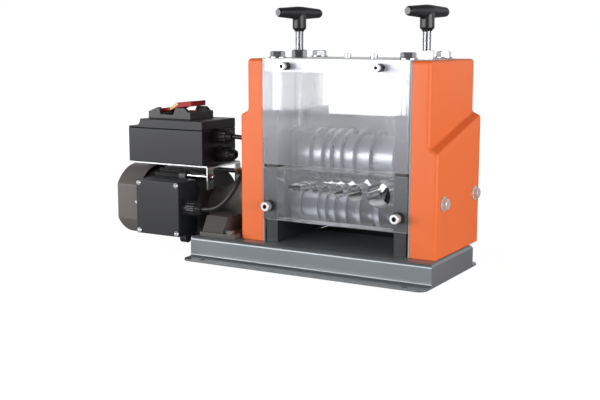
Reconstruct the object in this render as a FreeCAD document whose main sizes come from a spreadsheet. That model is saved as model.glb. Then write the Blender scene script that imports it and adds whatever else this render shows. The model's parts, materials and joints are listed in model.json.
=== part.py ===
import FreeCAD, Part
import math
import os
import re

import Sketcher
from FreeCAD import Placement, Rotation, Vector

# Bench wire stripping machine, in millimetres.
# X runs to the right along the machine, Y to the back and Z up.
# The origin is the centre of the four foot holes, on the underside of the base.

doc = FreeCAD.newDocument("WireStripper")
sheet = doc.addObject("Spreadsheet::Sheet", "Sizes")

SIZES = {
    # The head's centre on the base, and the clearances between its pieces
    "head_x": 34.5,
    "head_y": 25,
    "fit": 0.05,
    "side_gap": 0.3,
    # Base
    "base_length": 374,
    "base_width": 146,
    "base_height": 32,
    "base_sheet": 3,
    "base_bend": 6,
    "base_flange": 23.5,
    "flange_corner": 12,
    "foot_hole": 9,
    "foot_spacing_x": 312,
    "foot_spacing_y": 174,
    # Side frames
    "clear_width": 177,
    "frame_thickness": 18,
    "frame_depth": 150,
    "frame_top": 215,
    "window_width": 64,
    "window_floor": 115,
    "window_corner": 1.5,
    "frame_screw": 8,
    "frame_screw_spread": 120,
    "frame_screw_grip": 18,
    # Pillars, top plate and the bolts through them
    "pillar": 15,
    "pillar_height": 53,
    "plate_thickness": 18,
    "plate_overhang": 1.5,
    "plate_edge": 1,
    "long_bolt": 12,
    "long_bolt_hex": 18,
    "long_bolt_head": 7.5,
    "long_bolt_spread": 118,
    "long_bolt_grip": 25,
    "washer": 24,
    "washer_thickness": 2,
    "small_screw": 6,
    "cap_screw_spread": 40.8,
    # Shafts, bearings, rollers
    "feed_axis": 81,
    "blade_axis": 151,
    "bearing_diameter": 42,
    "bearing_width": 12,
    "shaft": 25,
    "journal": 20,
    "end_chamfer": 1,
    "key": 6,
    "key_rise": 2.5,
    "shoulder_hole": 30,
    "roller": 60,
    "roller_gap": 2,
    "disc": 76,
    "disc_thickness": 2.5,
    "disc_bevel": 4,
    "disc_edge": 0.2,
    "spacer": 60,
    "stack_gap": 0.5,
    # Gears
    "gear_teeth": 12,
    "gear_width": 14,
    "gear_gap": 9,
    "gear_hub": 32,
    "hub_clearance": 1.8,
    "gear_backlash": 0.5,
    "pressure_angle": 25,
    "ring": 26,
    "ring_thickness": 1.5,
    "ring_groove": 0.75,
    # Bearing blocks and adjusting screws
    "block_height": 68,
    "block_lip": 5,
    "block_flange": 4,
    "blade_lift": 10.5,
    "collar": 16,
    "collar_height": 4.7,
    "collar_play": 0.15,
    "cap_thickness": 4,
    "cap_length": 44,
    "screw": 12,
    "screw_above_plate": 36,
    "nut_hex": 19,
    "nut_height": 11,
    "hub": 19.5,
    "hub_height": 18,
    "handle_height": 26,
    "handle_length": 87,
    "handle_end": 12.8,
    "handle_middle": 18,
    "handle_round": 2.5,
    "handle_collar": 3,
    # Clear guard and feed guide
    "clear_sheet": 5,
    "guard_floor": 141.5,
    "guide_top": 137.5,
    "guide_floor": 64,
    "guide_depth": 34,
    "channel_height": 111,
    "channel_margin": 3.5,
    "channel_web": 6.4,
    "slot_width": 20,
    "slot_height": 7,
    "channel_1": 6,
    "channel_2": 8,
    "channel_3": 11,
    "channel_4": 15,
    "channel_5": 22,
    "channel_6": 34,
    "guard_screw_spread": 139,
    "guard_screw_drop": 10,
    "guard_screw_head": 10,
    "guard_sleeve": 10.5,
    "guide_screw": 8,
    "guide_screw_head": 13,
    "guide_screw_height": 84.2,
    "guide_sleeve": 7,
    "screw_grip": 16,
    # Rear plates
    "rear_sheet": 5,
    "rear_floor": 130,
    "rear_top": 202,
    "outlet_floor": 90,
    # Side plates and covers
    "panel_gap": 3,
    "panel_sheet": 2,
    "panel_top": 283.5,
    "cover_width": 37,
    "cover_depth": 154,
    "cover_top": 285.5,
    "cover_sheet": 2,
    "cover_recess": 12,
    "cover_round": 5,
    "step_front": 168.5,
    "step_back": 209.8,
    "step_rise": 5.5,
    "cover_bolt": 8,
    "cover_bolt_hex": 13,
    "cover_bolt_head": 5.3,
    "cover_washer": 20,
    "cover_bolt_spread": 112,
    "cover_bolt_height": 103,
    "cover_bolt_grip": 12,
    "spacer_tube": 14,
    # Gear housing and its foot
    "housing_gap": 2,
    "flange_clearance": 0.5,
    "housing_flange_width": 12,
    "housing_length": 77,
    "housing_end": 56,
    "neck": 52,
    "neck_place": 15,
    "neck_height": 65,
    "shaft_seat": 8,
    "foot_thickness": 6,
    "foot_length": 60,
    "foot_front": 66,
    "foot_back": 71,
    "arm_height": 28,
    "arm_length": 36,
    "arm_inset": 2,
    "arm_lean": 16,
    "foot_bolt": 8,
    "foot_bolt_inset": 12,
    "foot_bolt_edge": 7.5,
    # Motor
    "motor_axis": 62,
    "motor": 100,
    "motor_length": 113,
    "shield_width": 12,
    "fin_height": 4,
    "fin_thickness": 2.5,
    "fin_count": 24,
    "ear": 14,
    "ear_y": 40,
    "ear_z": 48,
    "ear_setback": 28,
    "terminal_pad": 60,
    "fan_cover": 111,
    "fan_cover_flat": 97,
    "fan_cover_length": 46,
    "fan_cover_sheet": 1.5,
    "fan_cover_round": 3,
    "spigot_length": 8,
    "air_slots": 12,
    "air_slot_width": 4,
    "air_slot_length": 24,
    "air_slot_start": 14,
    "rotor": 12,
    "rotor_seat": 40,
    "fan": 88,
    "fan_width": 16,
    "fan_hub": 24,
    "fan_blades": 8,
    "fan_blade": 2,
    # Terminal box, measured from the motor's drive end and axis
    "terminal_right": 5,
    "terminal_length": 77,
    "terminal_gap": 1,
    "terminal_depth": 44,
    "terminal_height": 80,
    "terminal_floor": 35.5,
    "terminal_wall": 3,
    "terminal_lid": 6,
    "terminal_screw_inset": 4.5,
    "terminal_screw": 4,
    "terminal_screw_head": 8,
    "terminal_screw_rise": 3,
    "terminal_screw_grip": 8,
    # Switch bracket and box, measured from the motor's drive end and axis
    "bracket_sheet": 2.5,
    "bracket_height": 64,
    "bracket_reach": 12,
    "bracket_length": 148,
    "bracket_front": 45,
    "bracket_back": 43,
    "bracket_drop": 35,
    "bracket_bend": 4,
    "bracket_tab": 20,
    "stud_sleeve": 7.5,
    "box_setback": 7,
    "box_length": 138,
    "box_front": 48,
    "box_back": 40,
    "box_height": 52,
    "box_wall": 3,
    "lid_height": 14,
    "lid_edge": 2.5,
    "cove": 11,
    "cove_place": 11,
    # Paddle switch, measured from the switch box
    "switch_place": 113,
    "switch_length": 79,
    "switch_width": 60,
    "switch_floor": 6.5,
    "switch_shoulder": 11,
    "switch_crown": 17,
    "switch_wall": 6,
    "switch_step": 4.5,
    "switch_ramp": 6,
    "hump_length": 16.8,
    "notch_ramp": 5,
    "notch_length": 23.6,
    "left_hump": 17.3,
    "left_edge": 2,
    "well_edge": 3,
    "flap_pivot": 13,
    "flap_pivot_height": 11.5,
    "flap_pin": 3,
    "flap_barrel": 6,
    "flap_width": 37,
    "flap_length": 60,
    "flap_rise": 15.4,
    "flap_bend": 33.4,
    "flap_bend_rise": 12.8,
    "flap_strip": 19,
    "flap_strip_rise": 3.9,
    "flap_plate": 3,
    "flap_skirt": 7.8,
    "button": 14,
    "stop_height": 8.5,
    "start_height": 4.5,
    "button_travel": 3,
    "button_collar": 2,
    "start_place": 26,
    "stop_place": 48,
    # Cable glands and the motor lead
    "gland": 24,
    "gland_hex": 22,
    "gland_length": 30,
    "upper_gland_y": -11.6,
    "upper_gland_z": 106.7,
    "lower_gland_y": -4,
    "lower_gland_z": 79,
    "motor_gland_inset": 28,
    "motor_gland_z": 6.6,
    "lead": 7,
}

for row, (alias, size) in enumerate(SIZES.items(), start=1):
    sheet.set("A%d" % row, alias)
    sheet.set("B%d" % row, str(size))
    sheet.setAlias("B%d" % row, alias)
doc.recompute()

# Places are expressions on the sheet, kept as text, such as "head_x - clear_width / 2".

ALONG = {"X": Rotation(Vector(0, 1, 0), 90), "Y": Rotation(Vector(1, 0, 0), -90), "Z": Rotation()}


def bound(expression):
    """The expression with each bare word turned into a cell of the sheet."""
    return re.sub(r"\b([a-z]\w*)\b(?!\()", r"Sizes.\1", expression)


def number(expression):
    """What an expression comes to with the sheet's present sizes."""
    return float(sheet.evalExpression(bound(expression)))


def minus(expression):
    return "-(%s)" % expression


def place(item, x="0", y="0", z="0"):
    for axis, expression in zip("xyz", (x, y, z)):
        item.setExpression("Placement.Base." + axis, bound(expression))
    return item


def block(x, y, z):
    """A box between two places on each axis."""
    box = doc.addObject("Part::Box", "block")
    for side, (start, end) in zip(("Length", "Width", "Height"), (x, y, z)):
        box.setExpression(side, bound("(%s) - (%s)" % (end, start)))
    return place(box, x[0], y[0], z[0])


def along(item, axis, start, centre):
    """Stand an upright piece along an axis, from start; centre is its place on the other two."""
    item.Placement = Placement(Vector(), ALONG[axis])
    spot = list(centre)
    spot.insert("XYZ".index(axis), start)
    return place(item, *spot)


def rod(axis, start, end, centre, diameter):
    """A round bar from start to end along an axis."""
    bar = doc.addObject("Part::Cylinder", "rod")
    bar.setExpression("Radius", bound("(%s) / 2" % diameter))
    bar.setExpression("Height", bound("(%s) - (%s)" % (end, start)))
    return along(bar, axis, start, centre)


def hexagon(axis, start, end, centre, across_flats):
    """A hexagonal bar from start to end along an axis."""
    bar = doc.addObject("Part::Prism", "hexagon")
    bar.Polygon = 6
    bar.setExpression("Circumradius", bound("(%s) / sqrt(3)" % across_flats))
    bar.setExpression("Height", bound("(%s) - (%s)" % (end, start)))
    return along(bar, axis, start, centre)


def fuse(*items):
    joined = doc.addObject("Part::MultiFuse", "fused")
    joined.Shapes = items
    joined.Refine = True
    return joined


def group(items):
    """Separate solids that share one sub-part."""
    together = doc.addObject("Part::Compound", "group")
    together.Links = list(items)
    return together


def cut(base, *tools):
    """The base with every tool taken away; each tool must remove something."""
    for tool in tools:
        left = doc.addObject("Part::Cut", "cut")
        left.Base = base
        left.Tool = tool
        left.Refine = True
        doc.recompute()
        if left.Shape.Volume > base.Shape.Volume - 1e-6:
            raise ValueError("a cut of %s removes nothing" % base.Name)
        base = left
    return base


def sketch_on(body, plane, offset="0"):
    """A sketch on a plane of the body's own origin, moved along the plane's normal."""
    sketch = body.newObject("Sketcher::SketchObject", "outline")
    role = plane + "_Plane"
    origin = [item for item in body.Origin.OriginFeatures if item.Role == role][0]
    sketch.AttachmentSupport = [(origin, "")]
    sketch.MapMode = "FlatFace"
    sketch.setExpression("AttachmentOffset.Base.z", bound(offset))
    return sketch


def pin(sketch, edge, point, across, up):
    """Tie one point of a sketch to a pair of expressions."""
    for kind, expression in (("DistanceX", across), ("DistanceY", up)):
        value = number(expression)
        constraint = Sketcher.Constraint(kind, -1, 1, edge, point, value)
        index = sketch.addConstraint(constraint)
        sketch.setExpression("Constraints[%d]" % index, bound(expression))


def polygon(sketch, corners):
    """A closed outline of straight edges; each corner is a pair of expressions."""
    spots = [Vector(number(across), number(up), 0) for across, up in corners]
    first = sketch.GeometryCount
    for here, there in zip(spots, spots[1:] + spots[:1]):
        sketch.addGeometry(Part.LineSegment(here, there))
    for index, (across, up) in enumerate(corners):
        before = first + (index - 1) % len(corners)
        sketch.addConstraint(Sketcher.Constraint("Coincident", before, 2, first + index, 1))
        pin(sketch, first + index, 1, across, up)
    return sketch


def circle(sketch, across, up, diameter):
    radius = number(diameter) / 2
    centre = Vector(number(across), number(up), 0)
    edge = sketch.addGeometry(Part.Circle(centre, Vector(0, 0, 1), radius))
    pin(sketch, edge, 3, across, up)
    index = sketch.addConstraint(Sketcher.Constraint("Diameter", edge, number(diameter)))
    sketch.setExpression("Constraints[%d]" % index, bound(diameter))
    return sketch


def pad(sketch, length, reverse=False, both=False):
    """Thicken a sketch along its normal, against it, or half each way."""
    body = sketch.getParentGeoFeatureGroup()
    feature = body.newObject("PartDesign::Pad", "pad")
    feature.Profile = sketch
    feature.setExpression("Length", bound(length))
    feature.Reversed = reverse
    feature.SideType = "Symmetric" if both else "One side"
    doc.recompute()
    return feature


def pocket(sketch, depth):
    """Cut a sketch away for half the depth on each side of its plane."""
    body = sketch.getParentGeoFeatureGroup()
    before = body.Shape.Volume
    feature = body.newObject("PartDesign::Pocket", "pocket")
    feature.Profile = sketch
    feature.setExpression("Length", bound(depth))
    feature.SideType = "Symmetric"
    doc.recompute()
    if body.Shape.Volume > before - 1e-6:
        raise ValueError("a pocket of %s removes nothing" % body.Name)
    return feature


def revolve(sketch, axis):
    """Turn a sketch a whole turn about its own H_Axis or V_Axis."""
    body = sketch.getParentGeoFeatureGroup()
    feature = body.newObject("PartDesign::Revolution", "revolution")
    feature.Profile = sketch
    feature.ReferenceAxis = (sketch, [axis])
    feature.Angle = 360
    doc.recompute()
    return feature


def repeat_round(feature, axis, count):
    """Repeat a feature evenly round one of the body's own axes."""
    body = feature.getParentGeoFeatureGroup()
    pattern = body.newObject("PartDesign::PolarPattern", "pattern")
    pattern.Originals = [feature]
    role = axis + "_Axis"
    pattern.Axis = ([item for item in body.Origin.OriginFeatures if item.Role == role][0], [""])
    pattern.Angle = 360
    pattern.setExpression("Occurrences", bound(count))
    body.Tip = pattern
    doc.recompute()
    return pattern


def soften(body, size, chosen, kind="Fillet"):
    """Round, or chamfer, those edges of the body that chosen picks."""
    doc.recompute()
    base = body.Tip
    edges = ["Edge%d" % i for i, edge in enumerate(base.Shape.Edges, start=1) if chosen(edge)]
    if not edges:
        raise ValueError("no edge of %s is chosen" % body.Name)
    feature = body.newObject("PartDesign::" + kind, kind.lower())
    feature.Base = (base, edges)
    feature.setExpression("Radius" if kind == "Fillet" else "Size", bound(size))
    doc.recompute()
    return body


def new_body():
    return doc.addObject("PartDesign::Body", "body")


def turned(corners):
    """A body turned about the X axis; corners are pairs of place along it and radius."""
    body = new_body()
    revolve(polygon(sketch_on(body, "XZ"), corners), "H_Axis")
    return body


def near(value, expression):
    return abs(value - number(expression)) < 1e-3


def lies_along(edge, axis):
    """Whether an edge is straight and runs along X, Y or Z."""
    box = edge.BoundBox
    lengths = {"X": box.XLength, "Y": box.YLength, "Z": box.ZLength}
    return all((length > 1e-3) == (name == axis) for name, length in lengths.items())


sub_parts = []


def sub_part(name, item):
    item.Label = name
    sub_parts.append(item)
    return item


def on_head(name, item, half_turn=False):
    """Finish a sub-part that is drawn from the head's centre; Z is already from the ground."""
    item.Placement = Placement(Vector(), Rotation(Vector(0, 0, 1), 180 if half_turn else 0))
    return sub_part(name, place(item, "head_x", "head_y"))


# Places along X from the head's centre to the right; the left side is the same, turned round.
frame_inner = "(clear_width / 2)"
frame_middle = "(clear_width / 2 + frame_thickness / 2)"
frame_outer = "(clear_width / 2 + frame_thickness)"
panel_inner = "(%s + panel_gap)" % frame_outer
cover_inner = "(%s + panel_sheet)" % panel_inner
cover_outer = "(%s + cover_width)" % cover_inner
bearing_inner = "(%s - bearing_width - side_gap)" % frame_outer
gear_place = "(%s + gear_gap)" % frame_outer
ring_place = "(%s + gear_width)" % gear_place

# Places along Y from the head's centre, and heights.
front = "(-frame_depth / 2)"
plate_floor = "(frame_top + pillar_height)"
plate_top = "(%s + plate_thickness)" % plate_floor
screw_top = "(%s + screw_above_plate)" % plate_top

# Base: a folded channel with a flange along each long side and closed ends.
body = new_body()
profile = sketch_on(body, "YZ")
edge_y = "(base_width / 2)"
lip_y = "(base_width / 2 + base_flange)"
polygon(profile, [
    (minus(lip_y), "0"), (minus(edge_y + " - base_sheet"), "0"),
    (minus(edge_y + " - base_sheet"), "base_height - base_sheet"),
    (edge_y + " - base_sheet", "base_height - base_sheet"),
    (edge_y + " - base_sheet", "0"), (lip_y, "0"), (lip_y, "base_sheet"),
    (edge_y, "base_sheet"), (edge_y, "base_height"),
    (minus(edge_y), "base_height"), (minus(edge_y), "base_sheet"), (minus(lip_y), "base_sheet"),
])
pad(profile, "base_length", both=True)
for side in ("-", ""):
    ends = sketch_on(body, "YZ", side + "(base_length / 2 - base_sheet / 2)")
    polygon(ends, [
        (minus(edge_y), "0"), (edge_y, "0"), (edge_y, "base_height"), (minus(edge_y), "base_height"),
    ])
    pad(ends, "base_sheet", both=True)
soften(body, "base_bend", lambda edge: near(edge.BoundBox.ZMin, "base_height"))
soften(body, "base_bend / 2", lambda edge: lies_along(edge, "X")
       and near(edge.CenterOfMass.z, "base_sheet") and near(abs(edge.CenterOfMass.y), edge_y))
soften(body, "flange_corner", lambda edge: lies_along(edge, "Z")
       and near(abs(edge.CenterOfMass.y), lip_y))
holes = sketch_on(body, "XY")
for across in ("-foot_spacing_x / 2", "foot_spacing_x / 2"):
    for up in ("-foot_spacing_y / 2", "foot_spacing_y / 2"):
        circle(holes, across, up, "foot_hole")
pocket(holes, "4 * base_sheet")
screw_hole = "(frame_screw + 2 * fit)"
foot_bolt_x = "(head_x - %s - housing_gap - foot_bolt_inset)" % cover_outer
foot_bolt_places = [
    (foot_bolt_x, "foot_bolt_edge - foot_front"), (foot_bolt_x, "foot_back - foot_bolt_edge"),
]
holes = sketch_on(body, "XY", "base_height")
for across in ("head_x - " + frame_middle, "head_x + " + frame_middle):
    for up in ("head_y - frame_screw_spread / 2", "head_y + frame_screw_spread / 2"):
        circle(holes, across, up, screw_hole)
for across, up in foot_bolt_places:
    circle(holes, across, up, "foot_bolt + 2 * fit")
pocket(holes, "4 * base_sheet")
sub_part("base_frame", body)

# Side frames: thick plates with a window open at the top, drawn on the right side.
half_depth = "(frame_depth / 2)"
half_window = "(window_width / 2)"
bearing_hole = "(bearing_diameter + 2 * fit)"
frame_screw_top = "(base_height + frame_screw_grip)"


def side_frame(name, half_turn):
    body = new_body()
    outline = polygon(sketch_on(body, "YZ", frame_middle), [
        (minus(half_depth), "base_height"), (half_depth, "base_height"),
        (half_depth, "frame_top"), (half_window, "frame_top"),
        (half_window, "window_floor"), (minus(half_window), "window_floor"),
        (minus(half_window), "frame_top"), (minus(half_depth), "frame_top"),
    ])
    pad(outline, "frame_thickness", both=True)
    soften(body, "window_corner", lambda edge: lies_along(edge, "X")
           and near(edge.CenterOfMass.z, "window_floor"))
    tools = [
        rod("X", bearing_inner + " - side_gap", frame_outer + " + 1", ("0", "feed_axis"), bearing_hole),
        rod("X", frame_inner + " - 1", bearing_inner, ("0", "feed_axis"), "shoulder_hole"),
    ]
    # The guide's screw goes into the front edge, which is the far one before the left frame is turned.
    screw_from, screw_to = front + " - 1", front + " + screw_grip + 2"
    if half_turn:
        screw_from, screw_to = half_depth + " - screw_grip - 2", half_depth + " + 1"
    tools.append(rod("Y", screw_from, screw_to, (frame_middle, "guide_screw_height"), "guide_screw + 2 * fit"))
    for side in ("-", ""):
        screw_y = side + "frame_screw_spread / 2"
        bolt_y = side + "long_bolt_spread / 2"
        washer_y = side + "cover_bolt_spread / 2"
        tools += [
            rod("Z", "base_height - 1", frame_screw_top + " + 1", (frame_middle, screw_y), screw_hole),
            rod("Z", "frame_top - long_bolt_grip - 1", "frame_top + 1", (frame_middle, bolt_y),
                "long_bolt + 2 * fit"),
            rod("X", frame_outer + " - cover_bolt_grip - 1", frame_outer + " + 1",
                (washer_y, "cover_bolt_height"), "cover_bolt + 2 * fit"),
        ]
    on_head(name, cut(body, *tools), half_turn)


side_frame("left_side_frame", True)
side_frame("right_side_frame", False)

# Screws from under the base into the frames.
frame_screws = []
for side in ("-", ""):
    for end in ("-", ""):
        spot = (side + frame_middle, end + "frame_screw_spread / 2")
        head_top = "(base_height - base_sheet)"
        head = rod("Z", head_top + " - frame_screw", head_top, spot, "1.6 * frame_screw")
        shank = rod("Z", head_top, frame_screw_top, spot, "frame_screw")
        frame_screws.append(fuse(head, shank))
on_head("frame_screws", group(frame_screws))

# Pillars, the top plate and the long bolts through both.
pillars = []
long_bolts = []
bolt_hole = "(long_bolt + 2 * fit)"
for side in ("-", ""):
    for end in ("-", ""):
        spot = (side + frame_middle, end + "long_bolt_spread / 2")
        tube = rod("Z", "frame_top", plate_floor, spot, "pillar")
        pillars.append(cut(tube, rod("Z", "frame_top - 1", plate_floor + " + 1", spot, bolt_hole)))
        head_floor = "(%s + washer_thickness)" % plate_top
        head = hexagon("Z", head_floor, head_floor + " + long_bolt_head", spot, "long_bolt_hex")
        shank = rod("Z", "frame_top - long_bolt_grip", head_floor, spot, "long_bolt")
        ring = rod("Z", plate_top, head_floor, spot, "washer")
        ring = cut(ring, rod("Z", plate_top + " - 1", head_floor + " + 1", spot, bolt_hole))
        long_bolts += [fuse(head, shank), ring]
on_head("frame_pillars", group(pillars))
on_head("pillar_bolts", group(long_bolts))

body = new_body()
plate_side = "(%s + plate_overhang)" % frame_outer
outline = polygon(sketch_on(body, "XY", plate_floor), [
    (minus(plate_side), front), (plate_side, front),
    (plate_side, half_depth), (minus(plate_side), half_depth),
])
pad(outline, "plate_thickness")
soften(body, "plate_edge", lambda edge: near(edge.BoundBox.ZMin, plate_top), "Chamfer")
holes = sketch_on(body, "XY", plate_floor)
for side in ("-", ""):
    for end in ("-", ""):
        circle(holes, side + frame_middle, end + "long_bolt_spread / 2", bolt_hole)
    circle(holes, side + frame_middle, "0", "screw + 2 * fit")
pocket(holes, "4 * plate_thickness")
cap_holes = [
    rod("Z", plate_top + " - screw_grip / 2 - 1", plate_top + " + 1", (side + "cap_screw_spread / 2", "0"),
        "small_screw + 2 * fit")
    for side in ("-", "")
]
guard_screw_z = "(%s - guard_screw_drop)" % plate_top
guard_holes = [
    rod("Y", front + " - 1", front + " + screw_grip + 1", (side + "guard_screw_spread / 2", guard_screw_z),
        "small_screw + 2 * fit")
    for side in ("-", "")
]
on_head("top_plate", cut(body, *cap_holes, *guard_holes))


def socket_head(axis, start, end, centre, diameter, socket_from, socket_to):
    """A round screw head with its hexagon socket."""
    head = rod(axis, start, end, centre, diameter)
    return cut(head, hexagon(axis, socket_from, socket_to, centre, "(%s) / 2" % diameter))


cap_screws = []
for side in ("-", ""):
    spot = (side + "cap_screw_spread / 2", "0")
    head_top = "(%s + small_screw)" % plate_top
    head = socket_head("Z", plate_top, head_top, spot, "guard_screw_head",
                       head_top + " - small_screw / 2", head_top + " + 1")
    cap_screws.append(fuse(head, rod("Z", plate_top + " - screw_grip / 2", plate_top, spot, "small_screw")))
on_head("top_cap_screws", group(cap_screws))

lock_nuts = []
for side in ("-", ""):
    spot = (side + frame_middle, "0")
    nut = hexagon("Z", plate_top, plate_top + " + nut_height", spot, "nut_hex")
    hole = rod("Z", plate_top + " - 1", plate_top + " + nut_height + 1", spot, "screw + 2 * fit")
    lock_nuts.append(cut(nut, hole))
on_head("lock_nuts", group(lock_nuts))

# Back plates between the frames, above and below the outlet.
for name, floor, top in (("rear_plate", "rear_floor", "rear_top"),
                         ("lower_rear_plate", "base_height", "outlet_floor")):
    body = new_body()
    outline = polygon(sketch_on(body, "XZ", minus(half_depth)), [
        (minus(frame_inner), floor), (frame_inner, floor), (frame_inner, top), (minus(frame_inner), top),
    ])
    pad(outline, "rear_sheet")
    on_head(name, body)

# Clear upper guard, hung on two long screws in black sleeves.
guard_face = "(-frame_depth / 2 - clear_sheet)"
guard_side = "(%s + plate_overhang + 1)" % frame_outer
screw_hole_6 = "(small_screw + 2 * fit)"
body = new_body()
outline = polygon(sketch_on(body, "XZ", minus(front)), [
    (minus(guard_side), "guard_floor"), (guard_side, "guard_floor"),
    (guard_side, plate_top), (minus(guard_side), plate_top),
])
for side in ("-", ""):
    circle(outline, side + "guard_screw_spread / 2", guard_screw_z, screw_hole_6)
pad(outline, "clear_sheet")
on_head("upper_guard", body)

guard_screws = []
sleeves = []
for side in ("-", ""):
    spot = (side + "guard_screw_spread / 2", guard_screw_z)
    sleeve_end = "(%s - guard_sleeve)" % guard_face
    head_end = "(%s - small_screw)" % sleeve_end
    head = socket_head("Y", head_end, sleeve_end, spot, "guard_screw_head",
                       head_end + " - 1", head_end + " + small_screw / 2")
    guard_screws.append(fuse(head, rod("Y", sleeve_end, front + " + screw_grip", spot, "small_screw")))
    sleeve = rod("Y", sleeve_end, guard_face, spot, "guard_screw_head + 0.7")
    sleeves.append(cut(sleeve, rod("Y", sleeve_end + " - 1", guard_face + " + 1", spot, screw_hole_6)))
on_head("guard_screws", group(guard_screws))

# Clear feed guide: a front sheet and, between the frames, a thick block with the channels through it.
guide_side = "(%s + plate_overhang + 0.5)" % frame_outer
guide_block_side = "(%s - side_gap)" % frame_inner
guide_screw_hole = "(guide_screw + 2 * fit)"
channel_back = "(%s + guide_depth)" % front
body = new_body()
outline = polygon(sketch_on(body, "XZ", minus(front)), [
    (minus(guide_side), "guide_floor"), (guide_side, "guide_floor"),
    (guide_side, "guide_top"), (minus(guide_side), "guide_top"),
])
for side in ("-", ""):
    circle(outline, side + frame_middle, "guide_screw_height", guide_screw_hole)
pad(outline, "clear_sheet")
outline = polygon(sketch_on(body, "XZ", minus(channel_back)), [
    (minus(guide_block_side), "guide_floor"), (guide_block_side, "guide_floor"),
    (guide_block_side, "guide_top"), (minus(guide_block_side), "guide_top"),
])
pad(outline, "guide_depth")

# The channels stand side by side from the right, with an equal web between them.
channels = []
edge_x = "clear_width / 2 - channel_margin"
for width in ("channel_6", "channel_5", "channel_4", "channel_3", "channel_2", "channel_1", "slot_width"):
    channels.append(("(%s - %s / 2)" % (edge_x, width), width))
    edge_x = "%s - %s - channel_web" % (edge_x, width)
outline = sketch_on(body, "XZ", minus(channel_back))
for centre_x, width in channels[:-1]:
    circle(outline, centre_x, "channel_height", width)
slot_x = channels[-1][0]
polygon(outline, [
    (slot_x + " - slot_width / 2", "channel_height - slot_height / 2"),
    (slot_x + " + slot_width / 2", "channel_height - slot_height / 2"),
    (slot_x + " + slot_width / 2", "channel_height + slot_height / 2"),
    (slot_x + " - slot_width / 2", "channel_height + slot_height / 2"),
])
pocket(outline, "4 * guide_depth")
on_head("feed_guide", body)

guide_screws = []
for side in ("-", ""):
    spot = (side + frame_middle, "guide_screw_height")
    sleeve_end = "(%s - guide_sleeve)" % guard_face
    head_end = "(%s - guide_screw)" % sleeve_end
    head = socket_head("Y", head_end, sleeve_end, spot, "guide_screw_head",
                       head_end + " - 1", head_end + " + guide_screw / 2")
    guide_screws.append(fuse(head, rod("Y", sleeve_end, front + " + screw_grip", spot, "guide_screw")))
    sleeve = rod("Y", sleeve_end, guard_face, spot, "guide_screw_head + 2")
    sleeves.append(cut(sleeve, rod("Y", sleeve_end + " - 1", guard_face + " + 1", spot, guide_screw_hole)))
on_head("guide_screws", group(guide_screws))
on_head("screw_sleeves", group(sleeves))

# Side plates close the covers' open sides; the right one lets the gears' hubs through.
panel_middle = "(%s + panel_sheet / 2)" % panel_inner
hub_hole = "(gear_hub + hub_clearance)"


def side_panel(name, half_turn):
    body = new_body()
    outline = polygon(sketch_on(body, "YZ", panel_middle), [
        ("-cover_depth / 2", "base_height"), ("cover_depth / 2", "base_height"),
        ("cover_depth / 2", "panel_top"), ("-cover_depth / 2", "panel_top"),
    ])
    for side in ("-", ""):
        circle(outline, side + "cover_bolt_spread / 2", "cover_bolt_height", "cover_bolt + 2 * fit")
    circle(outline, "0", "feed_axis", hub_hole)
    pad(outline, "panel_sheet", both=True)
    if not half_turn:
        slot = sketch_on(body, "YZ", panel_middle)
        circle(slot, "0", "blade_axis", hub_hole)
        pocket(slot, "4 * panel_sheet")
        slot = sketch_on(body, "YZ", panel_middle)
        circle(slot, "0", "blade_axis + blade_lift", hub_hole)
        pocket(slot, "4 * panel_sheet")
        slot = sketch_on(body, "YZ", panel_middle)
        polygon(slot, [
            ("-%s / 2" % hub_hole, "blade_axis"), ("%s / 2" % hub_hole, "blade_axis"),
            ("%s / 2" % hub_hole, "blade_axis + blade_lift"),
            ("-%s / 2" % hub_hole, "blade_axis + blade_lift"),
        ])
        pocket(slot, "4 * panel_sheet")
    on_head(name, body, half_turn)


side_panel("left_side_panel", True)
side_panel("right_side_panel", False)


# Side covers: folded sheet with a step that slopes down to the front on the right.
def cover_form(inset, start):
    """The solid outer form of a cover or, set in by the sheet, its hollow; start is its open side."""
    body = new_body()
    depth = "(cover_depth / 2 - %s)" % inset
    floor = "(base_height - %s)" % inset
    top = "(cover_top - %s)" % inset
    side = "(%s - %s)" % (cover_outer, inset)
    outline = polygon(sketch_on(body, "YZ", start), [
        (minus(depth), floor), (depth, floor), (depth, top), (minus(depth), top),
    ])
    pad(outline, "%s - %s" % (side, start))

    # The step is one slanted cut, drawn at the front edge and carried up to the back edge.
    slope = "((step_back - step_front) / cover_depth)"
    ledge = "(step_front - %s + %s * %s)" % (inset, inset, slope)
    above = sketch_on(body, "XZ", depth)
    polygon(above, [
        (side + " - cover_recess", ledge + " + step_rise"), (side, ledge),
        (side + " + cover_recess", ledge), (side + " + cover_recess", "2 * cover_top"),
        (side + " - cover_recess", "2 * cover_top"),
    ])
    before = body.Shape.Volume
    step = body.newObject("PartDesign::Pocket", "step")
    step.Profile = above
    step.Type = "ThroughAll"
    step.UseCustomVector = True
    step.Direction = Vector(0, 1, number(slope))
    step.setExpression("Direction.z", bound(slope))
    doc.recompute()
    if body.Shape.Volume > before - 1:
        raise ValueError("the cover's step removes nothing")
    soften(body, "cover_round - %s" % inset, lambda edge: edge.BoundBox.XMax > number(start) + 0.1
           and edge.BoundBox.ZMax > number(floor) + 0.1)
    return body


def cover(name, half_turn):
    tools = [cover_form("cover_sheet", "(%s - 1)" % cover_inner)]
    for side in ("-", ""):
        spot = (side + "cover_bolt_spread / 2", "cover_bolt_height")
        tools.append(rod("X", cover_outer + " - 2 * cover_sheet", cover_outer + " + 1", spot,
                         "cover_bolt + 2 * fit"))
    if half_turn:
        tools.append(rod("X", cover_outer + " - 2 * cover_sheet", cover_outer + " + 1", ("0", "feed_axis"),
                         "shoulder_hole"))
    on_head(name, cut(cover_form("0", cover_inner), *tools), half_turn)


cover("left_cover", True)
cover("right_cover", False)

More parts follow.
